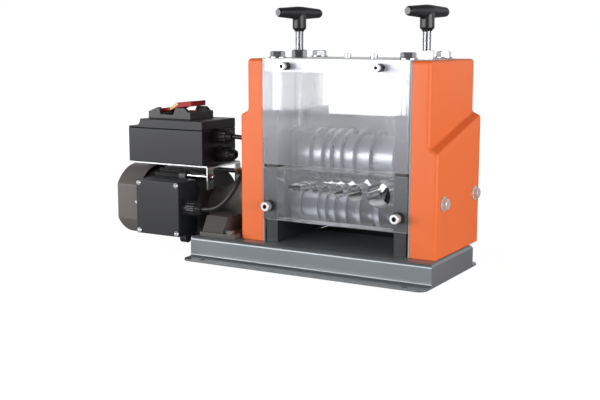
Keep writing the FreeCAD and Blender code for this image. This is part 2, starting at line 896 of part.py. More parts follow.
# Bolts, washers and spacers that hold cover and side plate to the frame.
cover_bolts = []
cover_spacers = []
panel_spacers = []
bolt_hole = "(cover_bolt + 2 * fit)"
for side in ("-", ""):
    for end in ("-", ""):
        spot = (end + "cover_bolt_spread / 2", "cover_bolt_height")
        facing = 180 if side == "-" else 0
        washer_end = "(%s + washer_thickness)" % cover_outer
        head = hexagon("X", washer_end, washer_end + " + cover_bolt_head", spot, "cover_bolt_hex")
        shank = rod("X", frame_outer + " - cover_bolt_grip", washer_end, spot, "cover_bolt")
        ring = rod("X", cover_outer, washer_end, spot, "cover_washer")
        ring = cut(ring, rod("X", cover_outer + " - 1", washer_end + " + 1", spot, bolt_hole))
        tube = rod("X", cover_inner, cover_outer + " - cover_sheet", spot, "spacer_tube")
        tube = cut(tube, rod("X", cover_inner + " - 1", cover_outer, spot, bolt_hole))
        short_tube = rod("X", frame_outer, panel_inner, spot, "spacer_tube")
        short_tube = cut(short_tube, rod("X", frame_outer + " - 1", cover_inner, spot, bolt_hole))
        for items, pieces in ((cover_bolts, (fuse(head, shank), ring)), (cover_spacers, (tube,)),
                              (panel_spacers, (short_tube,))):
            for piece in pieces:
                piece.Placement = Placement(Vector(), Rotation(Vector(0, 0, 1), facing))
                items.append(piece)
on_head("cover_bolts", group(cover_bolts))
on_head("cover_spacers", group(cover_spacers))
on_head("panel_spacers", group(panel_spacers))


# Ball bearings, drawn as two rings joined by a recessed shield.
def ball_bearing(height, facing):
    inner = "(journal / 2 + fit)"
    outer = "(bearing_diameter / 2)"
    inner_lip = "(journal / 2 + bearing_diameter / 10)"
    outer_lip = "(bearing_diameter / 2 - bearing_diameter / 14)"
    near_face = bearing_inner
    far_face = "(%s + bearing_width)" % bearing_inner
    ring = turned([
        (near_face, inner), (far_face, inner), (far_face, inner_lip),
        (far_face + " - side_gap", inner_lip), (far_face + " - side_gap", outer_lip),
        (far_face, outer_lip), (far_face, outer), (near_face, outer), (near_face, outer_lip),
        (near_face + " + side_gap", outer_lip), (near_face + " + side_gap", inner_lip),
        (near_face, inner_lip),
    ])
    ring.Placement = Placement(Vector(), Rotation(Vector(0, 0, 1), facing))
    return place(ring, "0", "0", height)


on_head("lower_bearings", group([ball_bearing("feed_axis", 0), ball_bearing("feed_axis", 180)]))
on_head("upper_bearings", group([ball_bearing("blade_axis", 0), ball_bearing("blade_axis", 180)]))

# Bearing blocks slide in the windows; each has a lipped flange inside the frame and a cap on top.
half_block = "(window_width / 2 - side_gap)"
half_flange = "(window_width / 2 + block_lip)"
block_floor = "(blade_axis - block_height / 2)"
block_top = "(blade_axis + block_height / 2)"
collar_seat = "(%s - collar_height - 2 * collar_play)" % block_top
flange_inner = "(%s - side_gap - block_flange)" % frame_inner
flange_outer = "(%s - side_gap)" % frame_inner
collar_hole = "(collar + 2 * fit)"


def bearing_block(name, half_turn):
    body = new_body()
    for start, end, half in ((flange_inner, flange_outer, half_flange),
                             (flange_outer, frame_outer + " - side_gap", half_block)):
        outline = polygon(sketch_on(body, "YZ", start), [
            (minus(half), block_floor), (half, block_floor),
            (half, block_top), (minus(half), block_top),
        ])
        pad(outline, "%s - %s" % (end, start))
    seat = rod("X", bearing_inner + " - side_gap", frame_outer + " + 1", ("0", "blade_axis"),
               bearing_hole)
    passage = rod("X", flange_inner + " - 1", bearing_inner, ("0", "blade_axis"), "shoulder_hole")
    recess = rod("Z", collar_seat, block_top + " + 1", (frame_middle, "0"), collar_hole)
    on_head(name, cut(body, seat, passage, recess), half_turn)


bearing_block("left_bearing_block", True)
bearing_block("right_bearing_block", False)

caps = []
for side in ("-", ""):
    middle = side + frame_middle
    half_cap = "(frame_thickness / 2 - side_gap)"
    cap_top = "(%s + cap_thickness)" % block_top
    cap = block((middle + " - " + half_cap, middle + " + " + half_cap), ("-cap_length / 2", "cap_length / 2"),
                (block_top, cap_top))
    spot = (middle, "0")
    caps.append(cut(cap, rod("Z", block_top + " - 1", cap_top + " + 1", spot, "screw + 2 * fit")))
on_head("thrust_caps", group(caps))


# Adjusting screws, whose collars turn in the bearing blocks, and their T handles.
handle_z = "(%s + handle_height)" % screw_top
hub_top = "(%s + hub_height)" % screw_top
HANDLE_TURN = 77


def handle_pieces(half_turn):
    """The screw and the handle on it, both drawn from the head's centre."""
    middle = ("-" if half_turn else "") + frame_middle
    spot = (middle, "0")
    screw_floor = "(%s + collar_play)" % collar_seat
    screw_end = "(%s + 0.8 * hub_height)" % screw_top
    collar = rod("Z", screw_floor, screw_floor + " + collar_height", spot, "collar")
    screw = fuse(collar, rod("Z", screw_floor, screw_end, spot, "screw"))

    body = new_body()
    outline = polygon(sketch_on(body, "XZ"), [
        ("0", screw_top), ("hub / 2 - handle_collar", screw_top),
        ("hub / 2 - handle_collar", screw_top + " + handle_collar / 2"),
        ("hub / 2", screw_top + " + 1.5 * handle_collar"), ("hub / 2", handle_z + " - handle_middle / 4"),
        ("handle_middle / 2 - side_gap", handle_z), ("0", handle_z),
    ])
    revolve(outline, "V_Axis")
    hub = place(body, middle)
    bar = turned([
        ("-handle_length / 2", "0"), ("-handle_length / 2", "handle_end / 2 - handle_round"),
        ("handle_round - handle_length / 2", "handle_end / 2"), ("-hub / 4", "handle_middle / 2"),
        ("hub / 4", "handle_middle / 2"), ("handle_length / 2 - handle_round", "handle_end / 2"),
        ("handle_length / 2", "handle_end / 2 - handle_round"), ("handle_length / 2", "0"),
    ])
    bar.Placement = Placement(Vector(), Rotation(Vector(0, 0, 1), HANDLE_TURN))
    place(bar, middle, "0", handle_z)
    hole = rod("Z", screw_top + " - 1", screw_end + " + side_gap", spot, "screw + 2 * fit")
    handle = cut(fuse(hub, bar), hole)
    return screw, handle


for side, half_turn in (("left", True), ("right", False)):
    screw, handle = handle_pieces(half_turn)
    on_head(side + "_screw", screw)
    on_head(side + "_handle", handle)

# Shafts: a thick middle, bearing journals and a key for the gear.
shoulder = "(%s - side_gap)" % bearing_inner
gear_end = "(%s + ring_thickness)" % ring_place
shaft_right = "(%s + ring_thickness + end_chamfer)" % gear_end
blade_left = "(%s + panel_gap - end_chamfer)" % frame_outer
housing_face = "(%s + housing_gap)" % cover_outer
feed_left = "(%s + shaft_seat)" % housing_face
groove_floor = "(journal - 2 * ring_groove)"


def gear_key(height):
    """A feather key that stands half out of the journal."""
    surface = "%s + journal / 2" % height
    return block(("%s + end_chamfer" % gear_place, "%s - end_chamfer" % ring_place), ("-key / 2", "key / 2"),
                 (surface + " - key / 2", surface + " + key_rise"))


def shaft_piece(height, left):
    turn = turned([
        (minus(left), "0"), (minus(left), "journal / 2 - end_chamfer"),
        ("end_chamfer - %s" % left, "journal / 2"),
        (minus(shoulder), "journal / 2"), (minus(shoulder), "shaft / 2"),
        (shoulder, "shaft / 2"), (shoulder, "journal / 2"),
        (shaft_right + " - end_chamfer", "journal / 2"), (shaft_right, "journal / 2 - end_chamfer"),
        (shaft_right, "0"),
    ])
    groove = rod("X", ring_place + " + fit", gear_end, ("0", height), "journal + 2")
    groove = cut(groove, rod("X", ring_place, gear_end + " + 1", ("0", height), groove_floor))
    return cut(fuse(place(turn, "0", "0", height), gear_key(height)), groove)


on_head("blade_shaft", shaft_piece("blade_axis", blade_left))
on_head("feed_shaft", shaft_piece("feed_axis", feed_left))

# Round blades over the channels, with a bright spacer between each pair.
stack_end = "(%s - stack_gap)" % flange_inner
discs = []
spacers = []


def stack_spacer(start, end):
    spot = ("0", "blade_axis")
    tube = rod("X", start, end, spot, "spacer")
    spacers.append(cut(tube, rod("X", start + " - 1", end + " + 1", spot, "shaft + 2 * fit")))


spacer_start = minus(stack_end)
for centre_x, width in reversed(channels):
    thick = "disc_thickness / 2"
    disc = turned([
        ("-" + thick, "shaft / 2 + fit"), (thick, "shaft / 2 + fit"), (thick, "disc / 2 - disc_bevel"),
        ("disc_edge / 2", "disc / 2"), ("-disc_edge / 2", "disc / 2"), ("-" + thick, "disc / 2 - disc_bevel"),
    ])
    discs.append(place(disc, centre_x, "0", "blade_axis"))
    stack_spacer(spacer_start, "%s - %s" % (centre_x, thick))
    spacer_start = "(%s + %s)" % (centre_x, thick)
stack_spacer(spacer_start, stack_end)
on_head("blade_discs", group(discs))
on_head("blade_spacers", group(spacers))

# Feed roller, with a groove under every channel.
roller_end = "(%s - roller_gap)" % frame_inner
spot = ("0", "feed_axis")
roller = rod("X", minus(roller_end), roller_end, spot, "roller")
tools = [rod("X", "-%s - 1" % roller_end, roller_end + " + 1", spot, "shaft + 2 * fit")]
for centre_x, width in channels[:-1]:
    ring = doc.addObject("Part::Torus", "groove")
    ring.setExpression("Radius1", bound("roller / 2"))
    ring.setExpression("Radius2", bound(width + " / 2"))
    tools.append(along(ring, "X", centre_x, spot))
slot_start = slot_x + " - slot_width / 2"
slot_end = slot_x + " + slot_width / 2"
band = rod("X", slot_start, slot_end, spot, "roller + 2")
tools.append(cut(band, rod("X", slot_start + " - 1", slot_end + " + 1", spot, "roller - slot_height")))
on_head("feed_roller", cut(roller, *tools))


# Meshing gears. Their teeth follow the involute of the base circle, in three-point arcs.
def gear_wire():
    teeth = round(number("gear_teeth"))
    pitch = number("(blade_axis - feed_axis) / 2")
    module = 2 * pitch / teeth
    angle = math.radians(number("pressure_angle"))
    base = pitch * math.cos(angle)
    tip = pitch + module
    root = pitch - 1.25 * module
    slack = number("gear_backlash") / (4 * pitch)
    half_tooth = math.pi / (2 * teeth) - slack + math.tan(angle) - angle

    def spot(radius, turn):
        return Vector(0, radius * math.sin(turn), radius * math.cos(turn))

    def flank(radius):
        """The half angle of a tooth at a radius."""
        roll = math.acos(base / radius)
        return half_tooth - math.tan(roll) + roll

    edges = []
    middle = (base + tip) / 2
    for tooth in range(teeth):
        centre = 2 * math.pi * tooth / teeth
        foot = [spot(root, centre - flank(base)), spot(base, centre - flank(base))]
        rise = [foot[1], spot(middle, centre - flank(middle)), spot(tip, centre - flank(tip))]
        crest = [rise[2], spot(tip, centre), spot(tip, centre + flank(tip))]
        fall = [crest[2], spot(middle, centre + flank(middle)), spot(base, centre + flank(base))]
        end = [fall[2], spot(root, centre + flank(base))]
        gap = centre + math.pi / teeth
        floor = [end[1], spot(root, gap), spot(root, gap * 2 - centre - flank(base))]
        edges.append(Part.LineSegment(*foot).toShape())
        edges += [Part.Arc(*points).toShape() for points in (rise, crest, fall)]
        edges.append(Part.LineSegment(*end).toShape())
        edges.append(Part.Arc(*floor).toShape())
    return Part.Wire(edges)


def gear(name, height, turn):
    toothed = doc.addObject("Part::Feature", "toothed")
    toothed.Shape = Part.Face(gear_wire()).extrude(Vector(number("gear_width"), 0, 0))
    toothed.Placement = Placement(Vector(), Rotation(Vector(1, 0, 0), turn))
    place(toothed, gear_place, "0", height)
    spot = ("0", height)
    hub_start = "(%s + bearing_width + 2 * side_gap)" % bearing_inner
    hub = rod("X", hub_start, gear_place + " + gear_width / 2", spot, "gear_hub")
    bore = rod("X", hub_start + " - 1", ring_place + " + 1", spot, "journal + 2 * fit")
    keyway = block((hub_start + " - 1", ring_place + " + 1"), ("-key / 2 - fit", "key / 2 + fit"),
                   (height, height + " + journal / 2 + key_rise + fit"))
    on_head(name, cut(fuse(toothed, hub), bore, keyway))


gear("feed_gear", "feed_axis", 0)
gear("blade_gear", "blade_axis", 180 + 180 / number("gear_teeth"))

# Rings in grooves keep the gears on their shafts.
for name, height in (("feed_ring", "feed_axis"), ("blade_ring", "blade_axis")):
    spot = ("0", height)
    ring = rod("X", ring_place + " + 2 * fit", gear_end + " - fit", spot, "ring")
    on_head(name, cut(ring, rod("X", ring_place, gear_end + " + 1", spot, groove_floor + " + 2 * fit")))


def on_motor(name, item):
    """Finish a sub-part that is drawn from the middle of the motor's drive end."""
    item.Placement = Placement()
    return sub_part(name, place(item, motor_end_x, "head_y", "motor_axis"))


# The drive side, from the left cover outwards: gear housing, motor and fan cover.
flange_face = "(head_x - %s)" % housing_face
motor_end_x = "(%s - housing_flange_width - housing_length)" % flange_face
flange_start = "housing_length"
flange_end = "(housing_length + housing_flange_width)"
feed_height = "(feed_axis - motor_axis)"
housing_flange = "(2 * (feed_axis - base_height - flange_clearance))"

# Gear housing: a bell from the motor's end through a narrow neck to the flange at the cover.
body = new_body()
sections = []
for offset, height, width in (
    ("0", "0", "housing_end"),
    ("neck_place", "neck_height - motor_axis", "neck"),
    ("housing_length * 0.55", "(neck_height - motor_axis + %s) / 2 - 1" % feed_height, "neck + 18"),
    (flange_start, feed_height, housing_flange),
):
    sections.append(circle(sketch_on(body, "YZ", offset), "0", height, width))
bell = body.newObject("PartDesign::AdditiveLoft", "bell")
bell.Profile = sections[0]
bell.Sections = sections[1:]
doc.recompute()
pad(circle(sketch_on(body, "YZ", flange_start), "0", feed_height, housing_flange), "housing_flange_width")
base_floor = "(base_height - motor_axis)"
foot_start = "(%s - foot_length)" % flange_end
outline = polygon(sketch_on(body, "XY", base_floor), [
    (foot_start, "-foot_front - head_y"), (flange_end, "-foot_front - head_y"),
    (flange_end, "foot_back - head_y"), (foot_start, "foot_back - head_y"),
])
pad(outline, "foot_thickness")
arm_start = "(%s + arm_inset)" % foot_start
outline = polygon(sketch_on(body, "YZ", arm_start), [
    ("-foot_front - head_y", base_floor), ("-foot_front - head_y + arm_lean", base_floor + " + arm_height"),
    ("foot_back - head_y - arm_lean / 4", base_floor + " + arm_height"), ("foot_back - head_y", base_floor),
])
pad(outline, "arm_length")
seat_start = "(%s - shaft_seat - 2)" % flange_end
seat = rod("X", seat_start, flange_end + " + 1", ("0", feed_height), "journal + 2 * fit")
tools = [seat]
foot_bolts = []
for across, up in foot_bolt_places:
    spot = ("%s - %s" % (across, motor_end_x), "%s - head_y" % up)
    foot_top = "(%s + foot_thickness)" % base_floor
    tools.append(rod("Z", base_floor + " - 1", foot_top + " + 1", spot, "foot_bolt + 2 * fit"))
    head = hexagon("Z", foot_top, foot_top + " + cover_bolt_head", spot, "cover_bolt_hex")
    nut_top = "(%s - base_sheet)" % base_floor
    nut = hexagon("Z", nut_top + " - foot_bolt * 0.8", nut_top, spot, "cover_bolt_hex")
    shank = rod("Z", nut_top + " - foot_bolt", foot_top, spot, "foot_bolt")
    nut = cut(nut, rod("Z", nut_top + " - foot_bolt", nut_top + " + 1", spot, "foot_bolt + 2 * fit"))
    foot_bolts += [fuse(head, shank), nut]
on_motor("gear_housing", cut(body, *tools))
on_motor("foot_bolts", group(foot_bolts))

# Motor: a finned tube with an end shield that carries the studs' ears.
fan_end = "(-motor_length)"
shield = "(motor + 2 * fin_height)"
spigot = "(fan_cover_flat - 2 * fan_cover_sheet - 2 * fit)"
terminal_back = "(motor / 2 + terminal_gap)"
body = new_body()
pad(circle(sketch_on(body, "YZ", fan_end), "0", "0", "motor"), "motor_length")
fin = polygon(sketch_on(body, "YZ", fan_end + " + shield_width"), [
    ("-fin_thickness / 2", "motor / 2 - 3"), ("fin_thickness / 2", "motor / 2 - 3"),
    ("fin_thickness / 2", "motor / 2 + fin_height"), ("-fin_thickness / 2", "motor / 2 + fin_height"),
])
fin_pad = pad(fin, "motor_length - 2 * shield_width")
repeat_round(fin_pad, "X", "fin_count")
terminal_top = "(terminal_height - terminal_floor)"
box_right = "(-terminal_right)"
box_left = "(-terminal_right - terminal_length)"
tools = [block((box_left + " - 1", box_right + " + 1"), ("-motor", minus(terminal_back)),
               ("-terminal_floor - 1", terminal_top + " + 1"))]
saddle = block((box_left + " + 6", box_right + " - 6"), (minus(terminal_back), "20 - %s" % terminal_back),
               ("-terminal_pad / 2", "terminal_pad / 2"))
step = rod("X", fan_end + " - spigot_length", fan_end, ("0", "0"), spigot)
disc = rod("X", "-shield_width", "0", ("0", "0"), shield)
ear_x = ("-shield_width - ear_setback", "-ear_setback")
ears = []
stud_places = []
for side in ("-", ""):
    across = side + "ear_y"
    bar_y = (across + " - ear / 2", across + " + ear / 2")
    ears.append(block(ear_x, bar_y, ("-ear_z", "ear_z")))
    for up in ("-ear_z", "ear_z"):
        ears.append(rod("X", ear_x[0], ear_x[1], (across, up), "ear"))
    stud_places.append((across, "ear_z"))
    tools.append(rod("X", "-shield_width / 2 - ear_setback", "1 - ear_setback", stud_places[-1],
                     "small_screw + 2 * fit"))
tools.append(rod("X", fan_end + " - spigot_length - 1", fan_end + " + rotor_seat", ("0", "0"), "rotor + 2 * fit"))
on_motor("motor_housing", cut(fuse(body, saddle, step, disc, *ears), *tools))

# Fan cover: a deep drawn cap with a flat front and back, open to the motor, with air slots in its end.
cap_end = "(%s - fan_cover_length)" % fan_end


def cap_form(inset):
    """The cover's solid outer form or, set in by the sheet, its hollow."""
    body = new_body()
    start = "(%s + %s)" % (cap_end, inset)
    round_form = circle(sketch_on(body, "YZ", start), "0", "0", "fan_cover - 2 * (%s)" % inset)
    pad(round_form, "%s - %s" % (fan_end, start))
    flat = "(fan_cover_flat / 2 - %s)" % inset
    sides = sketch_on(body, "YZ", start)
    for near_side, far_side in ((flat, "fan_cover"), (minus(flat), "-fan_cover")):
        polygon(sides, [
            (near_side, "-fan_cover"), (far_side, "-fan_cover"), (far_side, "fan_cover"), (near_side, "fan_cover"),
        ])
    pocket(sides, "4 * fan_cover_length")
    soften(body, "fan_cover_round - %s" % inset, lambda edge: near(edge.BoundBox.XMax, start))
    return body


slots = new_body()
slot = polygon(sketch_on(slots, "YZ", cap_end + " - 1"), [
    ("-air_slot_width / 2", "air_slot_start"), ("air_slot_width / 2", "air_slot_start"),
    ("air_slot_width / 2", "air_slot_start + air_slot_length"),
    ("-air_slot_width / 2", "air_slot_start + air_slot_length"),
])
repeat_round(pad(slot, "2 * fan_cover_sheet + 1"), "X", "air_slots")
on_motor("fan_cover", cut(cap_form("0"), cap_form("fan_cover_sheet"), slots))

# Motor shaft and the cooling fan on it.
fan_start = "(%s - spigot_length - 3 - fan_width)" % fan_end
spot = ("0", "0")
on_motor("motor_shaft", group([rod("X", fan_start + " - 3", fan_end + " + rotor_seat - 2", spot, "rotor")]))
body = new_body()
pad(circle(sketch_on(body, "YZ", fan_start), "0", "0", "fan_hub"), "fan_width")
blade = polygon(sketch_on(body, "YZ", fan_start), [
    ("-fan_blade / 2", "fan_hub / 2 - 2"), ("fan_blade / 2", "fan_hub / 2 - 2"),
    ("fan_blade / 2", "fan / 2"), ("-fan_blade / 2", "fan / 2"),
])
repeat_round(pad(blade, "fan_width"), "X", "fan_blades")
on_motor("cooling_fan", cut(body, rod("X", fan_start + " - 1", fan_end, spot, "rotor + 2 * fit")))

# Terminal box with its lid and four screws.
def hollow_box(x, y, z, wall, open_side):
    """A box of one wall thickness, open on the side that is named, such as -Y."""
    inner = []
    for axis, (start, end) in zip("XYZ", (x, y, z)):
        start = start + " - 1" if open_side == "-" + axis else start + " + " + wall
        end = end + " + 1" if open_side == "+" + axis else end + " - " + wall
        inner.append((start, end))
    return cut(block(x, y, z), block(*inner))


lid_front = "(-%s - terminal_depth)" % terminal_back
lid_back = "(%s + terminal_lid)" % lid_front
motor_gland_y = "(-%s - motor_gland_inset)" % terminal_back
terminal_x = (box_left, box_right)
terminal_z = ("-terminal_floor", terminal_top)
motor_gland_hole = rod("X", box_right + " - 2 * terminal_wall", box_right + " + 1",
                       (motor_gland_y, "motor_gland_z"), "gland - 8 + 2 * fit")
junction_box = hollow_box(terminal_x, (lid_back, minus(terminal_back)), terminal_z, "terminal_wall", "-Y")
posts = []
lid = block(terminal_x, (lid_front, lid_back), terminal_z)
screws = []
hole_tools = []
screw_front = "(%s - terminal_screw_rise)" % lid_front
screw_end = "(%s + terminal_screw_grip)" % lid_back
slot_depth = (screw_front + " - 1", screw_front + " + 0.4 * terminal_screw_rise")
slot_reach = "0.37 * terminal_screw_head"
slot_half = "0.075 * terminal_screw_head"
for x_place in (box_left + " + terminal_screw_inset", box_right + " - terminal_screw_inset"):
    for z_place in ("terminal_screw_inset - terminal_floor", terminal_top + " - terminal_screw_inset"):
        spot = (x_place, z_place)
        posts.append(rod("Y", lid_back, minus(terminal_back) + " - 1", spot, "terminal_screw_head"))
        hole_tools.append(rod("Y", lid_front + " - 1", screw_end + " + 1", spot, "terminal_screw + 2 * fit"))
        head = rod("Y", screw_front, lid_front, spot, "terminal_screw_head")
        across = (x_place + " - " + slot_reach, x_place + " + " + slot_reach)
        upright = (z_place + " - " + slot_reach, z_place + " + " + slot_reach)
        thin_x = (x_place + " - " + slot_half, x_place + " + " + slot_half)
        thin_z = (z_place + " - " + slot_half, z_place + " + " + slot_half)
        cross = fuse(block(across, slot_depth, thin_z), block(thin_x, slot_depth, upright))
        screws.append(fuse(cut(head, cross), rod("Y", lid_front, screw_end, spot, "terminal_screw")))
junction_box = cut(fuse(junction_box, *posts), motor_gland_hole, *hole_tools)
on_motor("junction_box", junction_box)
on_motor("junction_lid", cut(lid, *hole_tools))
on_motor("junction_screws", group(screws))

# Switch bracket: bent sheet with two tabs, on studs from the motor's ears.
bracket_right = "bracket_reach"
bracket_left = "(bracket_reach - bracket_length)"
bracket_floor = "(bracket_height - bracket_sheet)"
body = new_body()
outline = polygon(sketch_on(body, "XZ", "bracket_front"), [
    (bracket_left, "bracket_height"), (bracket_left, bracket_floor),
    (bracket_right + " - bracket_sheet", bracket_floor),
    (bracket_right + " - bracket_sheet", "bracket_height - bracket_drop"),
    (bracket_right, "bracket_height - bracket_drop"), (bracket_right, "bracket_height"),
])
pad(outline, "bracket_front + bracket_back", reverse=True)
soften(body, "bracket_bend", lambda edge: lies_along(edge, "Y") and near(edge.CenterOfMass.x, bracket_right)
       and near(edge.CenterOfMass.z, "bracket_height"))
soften(body, "bracket_bend - bracket_sheet", lambda edge: lies_along(edge, "Y")
       and near(edge.CenterOfMass.x, bracket_right + " - bracket_sheet")
       and near(edge.CenterOfMass.z, bracket_floor))
flange_z = ("bracket_height - bracket_drop - 1", "bracket_height - bracket_bend")
tools = [block((bracket_right + " - 2 * bracket_sheet", bracket_right + " + 1"),
               ("bracket_tab / 2 - ear_y", "ear_y - bracket_tab / 2"), flange_z)]
studs = []
for spot in stud_places:
    tools.append(rod("X", bracket_right + " - 2 * bracket_sheet", bracket_right + " + 1", spot,
                     "small_screw + 2 * fit"))
    rod_end = bracket_right + " + small_screw + 1.5"
    stud = rod("X", "-shield_width / 2 - ear_setback", rod_end, spot, "small_screw")
    sleeve = rod("X", "-ear_setback", bracket_right + " - bracket_sheet", spot, "stud_sleeve")
    sleeve = cut(sleeve, rod("X", "-ear_setback - 1", bracket_right, spot, "small_screw + 2 * fit"))
    nut = hexagon("X", bracket_right, bracket_right + " + small_screw * 0.8", spot, "small_screw / 0.6")
    nut = cut(nut, rod("X", bracket_right + " - 1", rod_end, spot, "small_screw + 2 * fit"))
    studs += [stud, sleeve, nut]
on_motor("switch_bracket", cut(body, *tools))
on_motor("bracket_studs", group(studs))

# Switch box and its lid, which ends in a hollow curve on the left.
box_x = ("bracket_reach - box_setback - box_length", "bracket_reach - box_setback")
box_y = ("-box_front", "box_back")
box_top = "(bracket_height + box_height)"
lid_top = "(%s + lid_height)" % box_top
gland_x = box_x[1]
case = hollow_box(box_x, box_y, ("bracket_height", box_top), "box_wall", "+Z")
tools = [
    rod("X", gland_x + " - 2 * box_wall", gland_x + " + 1", ("upper_gland_y", "upper_gland_z"),
        "gland - 8 + 2 * fit"),
    rod("X", gland_x + " - 2 * box_wall", gland_x + " + 1", ("lower_gland_y", "lower_gland_z"),
        "gland - 8 + 2 * fit"),
]
on_motor("switch_box", cut(case, *tools))
lid = block(box_x, box_y, (box_top, lid_top))
cove_x = "(%s + cove_place)" % box_x[0]
cove_z = "(%s + lid_edge + cove)" % box_top
scoop = fuse(
    rod("Y", "-box_front - 1", "box_back + 1", (cove_x, cove_z), "2 * cove"),
    block((box_x[0] + " - 1", cove_x), ("-box_front - 1", "box_back + 1"),
          (box_top + " + lid_edge", lid_top + " + 1")),
)
on_motor("switch_lid", cut(lid, scoop))

# Paddle switch: a base with raised walls, and a red flap that hangs on pins over two buttons.
base_x = "(%s - switch_place)" % gland_x
base_end = "(%s + switch_length)" % base_x
half_switch = "(switch_width / 2)"
floor_top = "(%s + switch_floor)" % lid_top
shoulder_z = "(%s + switch_shoulder)" % lid_top
crown_z = "(%s + switch_crown)" % lid_top
hump_end = "(%s - switch_step - switch_ramp)" % base_end
notch_end = "(%s - hump_length - notch_ramp)" % hump_end
body = new_body()
outline = polygon(sketch_on(body, "XZ", half_switch), [
    (base_x, lid_top), (base_end, lid_top), (base_end, shoulder_z),
    (hump_end + " + switch_ramp", shoulder_z), (hump_end, crown_z), (hump_end + " - hump_length", crown_z),
    (notch_end, floor_top), (notch_end + " - notch_length", floor_top),
    (notch_end + " - notch_length - notch_ramp / 2", crown_z),
    (base_x + " + left_hump", crown_z), (base_x + " + left_edge", shoulder_z), (base_x, shoulder_z),
])
pad(outline, "switch_width", reverse=True)
inner_y = "(%s - switch_wall)" % half_switch
well = polygon(sketch_on(body, "XZ"), [
    (base_x + " + well_edge", floor_top), (base_end + " - well_edge", floor_top),
    (base_end + " - well_edge", crown_z + " + 1"), (base_x + " + well_edge", crown_z + " + 1"),
])
pocket(well, "switch_width - 2 * switch_wall")
pivot_x = "(%s + flap_pivot)" % base_x
pivot_z = "(%s + flap_pivot_height)" % lid_top
collars = []
tools = [rod("Y", minus(half_switch) + " + left_edge", half_switch + " - left_edge", (pivot_x, pivot_z),
             "flap_pin + 2 * fit")]
buttons = []
for button_place, height in (("start_place", "start_height"), ("stop_place", "stop_height")):
    spot = ("%s + %s" % (pivot_x, button_place), "0")
    collars.append(rod("Z", floor_top + " - 1", floor_top + " + button_collar", spot, "button + 6"))
    tools.append(rod("Z", lid_top + " - 1", floor_top + " + button_collar + 1", spot, "button + 2 * fit"))
    floor = "(%s + button_travel + 0.5)" % lid_top
    buttons.append(rod("Z", floor, "%s + %s" % (floor, height), spot, "button"))
on_motor("switch_base", cut(fuse(body, *collars), *tools))
on_motor("start_button", group([buttons[0]]))
on_motor("stop_button", group([buttons[1]]))

body = new_body()
outline = polygon(sketch_on(body, "XZ", "flap_width / 2"), [
    ("0", "-flap_barrel / 2"), ("flap_strip", "0"), ("flap_bend", "flap_bend_rise - flap_skirt"),
    ("flap_length", "flap_rise - flap_skirt"), ("flap_length", "flap_rise"),
    ("flap_bend", "flap_bend_rise"), ("flap_strip", "flap_strip_rise"), ("0", "flap_barrel / 2"),
    ("-flap_barrel / 2", "0"),
])
pad(outline, "flap_width", reverse=True)
under_end = "(flap_length - flap_plate)"
under = polygon(sketch_on(body, "XZ"), [
    ("flap_barrel", "-flap_skirt"), (under_end, "-flap_skirt"), (under_end, "flap_rise - flap_plate"),
    ("flap_bend", "flap_bend_rise - flap_plate"), ("flap_strip", "flap_strip_rise - flap_plate"),
    ("flap_barrel", "0"),
])
pocket(under, "flap_width - 2 * flap_plate")
pin_end = "(%s - left_edge - side_gap)" % half_switch
pin_bar = rod("Y", minus(pin_end), pin_end, ("0", "0"), "flap_pin")
on_motor("stop_flap", fuse(place(body, pivot_x, "0", pivot_z),
                           place(pin_bar, pivot_x, minus(pin_end), pivot_z)))

# Cable glands: a body in the wall, a hexagon and a domed nut.
def gland_piece(start, across, up):
    """A gland on a wall that faces right, with its solid end at gland_length."""
    spot = (across, up)
    stem = rod("X", start + " - terminal_wall - 2", start, spot, "gland - 8")
    flange = hexagon("X", start, start + " + gland_length * 0.3", spot, "gland_hex")
    body = turned([
        ("gland_length * 0.3", "0"), ("gland_length * 0.3", "gland / 2 - 3"),
        ("gland_length * 0.36", "gland / 2 - 1"), ("gland_length * 0.7", "gland / 2 - 1"),
        ("gland_length * 0.9", "gland / 2 - 4"), ("gland_length", "lead / 2 + 2.5"), ("gland_length", "0"),
    ])
    return fuse(stem, flange, place(body, start, across, up))


on_motor("cable_glands", group([
    gland_piece(gland_x, "upper_gland_y", "upper_gland_z"),
    gland_piece(gland_x, "lower_gland_y", "lower_gland_z"),
    gland_piece(box_right, motor_gland_y, "motor_gland_z"),
]))

# Motor lead: it leaves the terminal box, loops behind the left cover and enters the switch box.
# The places between the two glands are chosen by hand, from the origin.
LEAD_ROUTE = [
    (-164, -54, 68.6), (-147, -50.5, 77), (-134, -45.5, 93), (-125.5, -38, 113), (-121, -22, 134),
    (-125, -4.5, 153), (-138.5, 8.5, 165.5), (-155, 13.4, 168.7),
]
ROUND_SHARE = 0.45


def gland_end(start, across, up):
    return Vector(number("%s + %s + gland_length" % (motor_end_x, start)), number("head_y + " + across),
                  number("motor_axis + " + up))


def rounded_path(points):
    """Straight runs joined by arcs as large as the runs allow; prints each arc's radius."""
    edges = []
    radii = []
    here = points[0]
    for before, corner, after in zip(points, points[1:], points[2:]):
        back = (before - corner).normalize()
        ahead = (after - corner).normalize()
        half_turn = (math.pi - back.getAngle(ahead)) / 2
        reach = ROUND_SHARE * min(before.distanceToPoint(corner), corner.distanceToPoint(after))
        radius = reach / math.tan(half_turn)
        start = corner + back * reach
        end = corner + ahead * reach
        inward = (back + ahead).normalize()
        middle = corner + inward * (radius / math.cos(half_turn) - radius)
        edges.append(Part.LineSegment(here, start).toShape())
        edges.append(Part.Arc(start, middle, end).toShape())
        radii.append(radius)
        here = end
    edges.append(Part.LineSegment(here, points[-1]).toShape())
    print("motor lead radii:", ", ".join("%.1f" % radius for radius in radii))
    return Part.Wire(edges)


